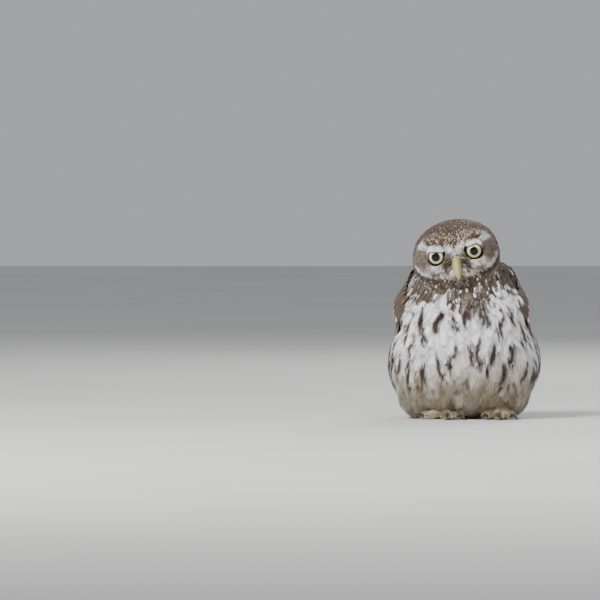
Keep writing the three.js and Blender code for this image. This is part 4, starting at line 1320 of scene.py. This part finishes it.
def horn(name, low, high, roughness, scale):
    """Bill and claws: from one colour at the root to another at the tip, with fine growth lines."""
    g = Graph(name, roughness, 0.5, [("Coat Weight", 0.25), ("Coat Roughness", 0.3)])
    _, v, _ = g.split("vane")
    grain = g.noise(900, 4.0)
    shown = g.blend(g.step(v, 0.0, 0.9), low, high)
    g.bump(g.math("SINE", v * scale + grain * 6.0) + grain, 0.00005)
    return g.paint(g.blend(g.step(grain, 0.35, 0.7, 0.0, 0.35), shown, low * 0.6))


def bare_skin(name, roughness, specular, base, over, scale):
    """A material of two colours in a fine grain, its grain, and the colour so far."""
    g = Graph(name, roughness, specular)
    grain = g.noise(scale, 4.0)
    g.bump(grain, 0.0002)
    return g, grain, g.blend(g.step(grain, 0.35, 0.65), base, over)


def foot_material():
    g, _, shown = bare_skin("foot_skin", 0.75, 0.3, colour(176, 160, 128), colour(210, 196, 162), 700)
    return g.paint(shown)


def lid_material():
    """Dark bare skin along the lids' edges, paler where small feathers cover it."""
    g, grain, shown = bare_skin("lid_skin", 0.5, 0.4, colour(26, 22, 20), colour(46, 40, 36), 1500)
    far, _, _ = g.split("vane")
    edge = g.step(far + (grain - 0.5) * 0.5, 0.75, 1.15)
    return g.paint(g.blend(edge, shown, colour(120, 108, 98)))


def underlay():
    """The skin under the feathers, which carries the coat's own colours, darker: grey down, and painted shade
    between the feathers.
    """
    g = Graph("skin_down_and_shade", 0.95, 0.1)
    g.bump(g.noise(900, 4.0), 0.0004)
    return g.paint(g.shade(g.attribute("ground", "Color"), g.step(g.noise(420, 4.0), 0.3, 0.7, 0.55, 0.85)))


white_plumes = plumage("pale_plumes", colour(68, 52, 42), colour(228, 216, 196))
crown_plumes = plumage("crown_plumes", colour(54, 41, 33), colour(196, 178, 150))
collar_plumes = plumage("collar_plumes", colour(62, 48, 39), colour(222, 210, 190))
brown_plumes = plumage("brown_plumes", colour(70, 52, 40), colour(232, 224, 208))
face_plumes = plumage("face_plumes", colour(88, 74, 62), colour(226, 216, 200))
foot_plumes = plumage("foot_plumes", colour(110, 92, 70), colour(214, 200, 172))
iris_look = eye_material()
bill_look = horn("bill", colour(168, 160, 92), colour(214, 206, 132), 0.36, 90.0)
claw_look = horn("claws", colour(92, 80, 68), colour(34, 29, 27), 0.34, 120.0)
lid_look = lid_material()
foot_look = foot_material()
down_and_shade_look = underlay()


# Pieces

def make_skin():
    flat = skin_grid.reshape(-1, 3)
    ground = marks_at(flat, np.random.default_rng(SEEDS["skin"]))[0]
    ground = paint(ground, DARK, 1 - smooth(from_eye(flat), EYE["radius"] + 0.2, EYE["radius"] + 0.8))
    ground = np.concatenate([ground, np.ones((len(ground), 1))], 1)
    ring = np.arange(SKIN_COLUMNS)
    following = (ring + 1) % SKIN_COLUMNS
    top_row = (SKIN_ROWS - 1) * SKIN_COLUMNS
    ends = [stack(len(flat), following, ring), stack(len(flat) + 1, top_row + ring, top_row + following)]
    part = {"places": np.concatenate([flat, [skin_grid[0].mean(0), skin_grid[-1].mean(0)]]),
            "faces": np.concatenate([grid_faces(SKIN_ROWS, SKIN_COLUMNS, wrap=True), *ends]),
            "ground": np.concatenate([ground, ground[:2]])}
    make_piece("skin", part, down_and_shade_look, "pale_plumage", ("head", "neck", "torso", "leg_left", "leg_right"))


def feather_roots(rng):
    """Where body feathers grow: not in the eyes, the bill or the feet, nor well under the wings."""
    roots, unwrap = scatter(rng, COUNTS["scatter"])
    q = to_head(roots)
    in_bill = (np.hypot(q[:, X], q[:, Z] + 3.5) < 3.0) & (q[:, Y] < -20)
    hidden = (from_eye(roots) < EYE["radius"] + 0.5) | in_bill | (roots[:, Z] < 6)
    for side in SIDES:
        along, across = on_bed(side, roots)
        hidden |= (side * roots[:, X] > 0) & (along > 20) & (along < 90) & (across > 32) & (across < 64)
    return roots[~hidden], unwrap[~hidden]


def make_coat(rng):
    roots, unwrap = feather_roots(rng)
    size, kinds = sizes_at(roots, rng)
    # A feather is coloured for the place where it shows, past the middle of its length.
    flow = across_surface(lie_at(roots), gradient(skin_field, roots))
    marks = marks_at(roots + flow * (size["length"] * 0.62)[:, None], rng)
    on_back = round_body(roots[:, X], roots[:, Y]) > 100
    high, on_head = roots[:, Z], head_share(roots) > 0.5
    zones = {
        "coat_face": (HAIR, high > 60, face_plumes, "face_plumage"),
        "coat_legs": (HAIR, high <= 60, foot_plumes, "foot_plumage"),
        "coat_crown": (SMALL, on_head, crown_plumes, "brown_plumage"),
        "coat_collar": (SMALL, ~on_head, collar_plumes, "brown_plumage"),
        "coat_breast": (PLUME, ~on_back & (high > 52), white_plumes, "pale_plumage"),
        "coat_belly": (PLUME, ~on_back & (high <= 52), white_plumes, "pale_plumage"),
        "coat_back": (PLUME, on_back, brown_plumes, "brown_plumage"),
    }
    for name, (kind, zone, material, slot) in zones.items():
        picked = np.flatnonzero(kinds[kind] & zone)
        own_size = {key: value[picked] for key, value in size.items()}
        own_marks = [mark[picked] for mark in marks]
        part = grown(kind, rng, roots[picked], unwrap[picked], own_size, own_marks)
        if kind is PLUME:
            shown = streaks_on(part, kind, rng, len(picked))
            own = np.repeat(on_back[picked], kind.corners) | (shown[:, 2] < part["streak"][:, 2] * 0.5)
            part["streak"] = np.where(own[:, None], part["streak"], shown)
        make_piece(name, part, material, slot)


def make_side(side, rng):
    word = SIDES[side]
    wing = joined([wing_part(side, tier, rng) for tier in TIERS.values()])
    make_piece("wing_feathers_" + word, wing, brown_plumes, "brown_plumage", ("wing_" + word,))
    make_piece("eyeball_" + word, eye_part(side), iris_look, "eye", ("eye_" + word,))
    make_piece("lids_" + word, lid_part(side), lid_look, "face_plumage")
    make_piece("lid_feathers_" + word, lid_feathers(side, rng, COUNTS["lid"]), face_plumes, "face_plumage")
    make_piece("flank_feathers_" + word, flank_part(side, rng), white_plumes, "pale_plumage")


def make_foot(foot, rng):
    name = foot["name"]
    flesh = joined([toe_part(foot, toe) for toe in foot["toes"]] + [palm_part(foot)])
    make_piece("foot_skin_" + name, flesh, foot_look, "foot_plumage", ("foot_" + name,))
    claws = joined([claw_part(foot, toe) for toe in foot["toes"]])
    claw_nodes = ["claw_" + name + "_" + toe for toe in TOE_NAMES]
    make_piece("claws_" + name, claws, claw_look, "claw_horn", claw_nodes)
    make_piece("toe_bristles_" + name, toe_bristles(foot, rng, COUNTS["toe"]), foot_plumes, "foot_plumage")


rng = np.random.default_rng(SEEDS["feathers"])
make_skin()
make_coat(rng)
for side in SIDES:
    make_side(side, rng)
make_piece("tail_feathers", tail_part(rng), brown_plumes, "brown_plumage", ("tail",))
make_piece("bill_top", bill_part(True), bill_look, "bill_horn", ("bill_upper",))
make_piece("bill_bottom", bill_part(False), bill_look, "bill_horn", ("bill_lower",))
make_piece("bristles", bristle_part(rng, COUNTS["bill"]), face_plumes, "face_plumage")
for foot in FEET:
    make_foot(foot, rng)


# Stage: a pale floor, soft lights and the camera, in metres

LIGHT_AIM = np.array((0, -0.02, 0.075))
LIGHTS = [  # name, place, size and power
    ("key", (-0.85, -1.1, 1.25), 0.5, 44),
    ("fill", (1.1, -1.0, 0.4), 0.9, 6),
    ("back", (0.5, 1.3, 1.1), 0.8, 14),
]


def make_floor():
    bpy.ops.mesh.primitive_plane_add(size=14)
    floor = bpy.context.object
    floor.name = "floor"
    g = Graph("floor", 0.7, 0.3)
    tint = g.blend(g.step(g.noise(3), 0.3, 0.7), np.array((0.60, 0.59, 0.57)), np.array((0.63, 0.62, 0.60)))
    floor.data.materials.append(g.paint(tint))


def make_lights():
    world = bpy.data.worlds.new("studio")
    bpy.context.scene.world = world
    world.use_nodes = True
    world.node_tree.nodes["Background"].inputs[0].default_value = (0.60, 0.62, 0.65, 1)
    world.node_tree.nodes["Background"].inputs[1].default_value = 0.7
    for name, place, size, power in LIGHTS:
        light = bpy.data.lights.new(name, "AREA")
        light.shape = "DISK"
        light.size, light.energy = size, power
        lamp = bpy.data.objects.new(name, light)
        bpy.context.scene.collection.objects.link(lamp)
        lamp.location = place
        x, y, z = LIGHT_AIM - place
        lamp.rotation_euler = (math.acos(-z / math.hypot(x, y, z)), 0, math.atan2(y, x) - math.pi / 2)


def make_camera():
    """A long lens almost level with the owl, which stands to the right of the picture's middle."""
    mm_per_pixel, picture, owl_column, floor_row = 0.735, 600, 466, 419
    distance, rise, sensor, owl_front = 5000, 1.2, 36, -15
    data = bpy.data.cameras.new("camera")
    data.sensor_width = sensor
    data.lens = sensor * distance / (mm_per_pixel * picture)
    data.clip_start, data.clip_end = 0.1, 100
    made = bpy.data.objects.new("camera", data)
    bpy.context.scene.collection.objects.link(made)
    bpy.context.scene.camera = made
    right, up = (picture / 2 - owl_column) * mm_per_pixel, (floor_row - picture / 2) * mm_per_pixel
    tilt = math.radians(rise)
    place = SHIFT + (right, owl_front, up) + distance * np.array((0, -math.cos(tilt), math.sin(tilt)))
    made.location = place * MM
    made.rotation_euler = (math.pi / 2 - tilt, 0, 0)


make_floor()
make_lights()
make_camera()
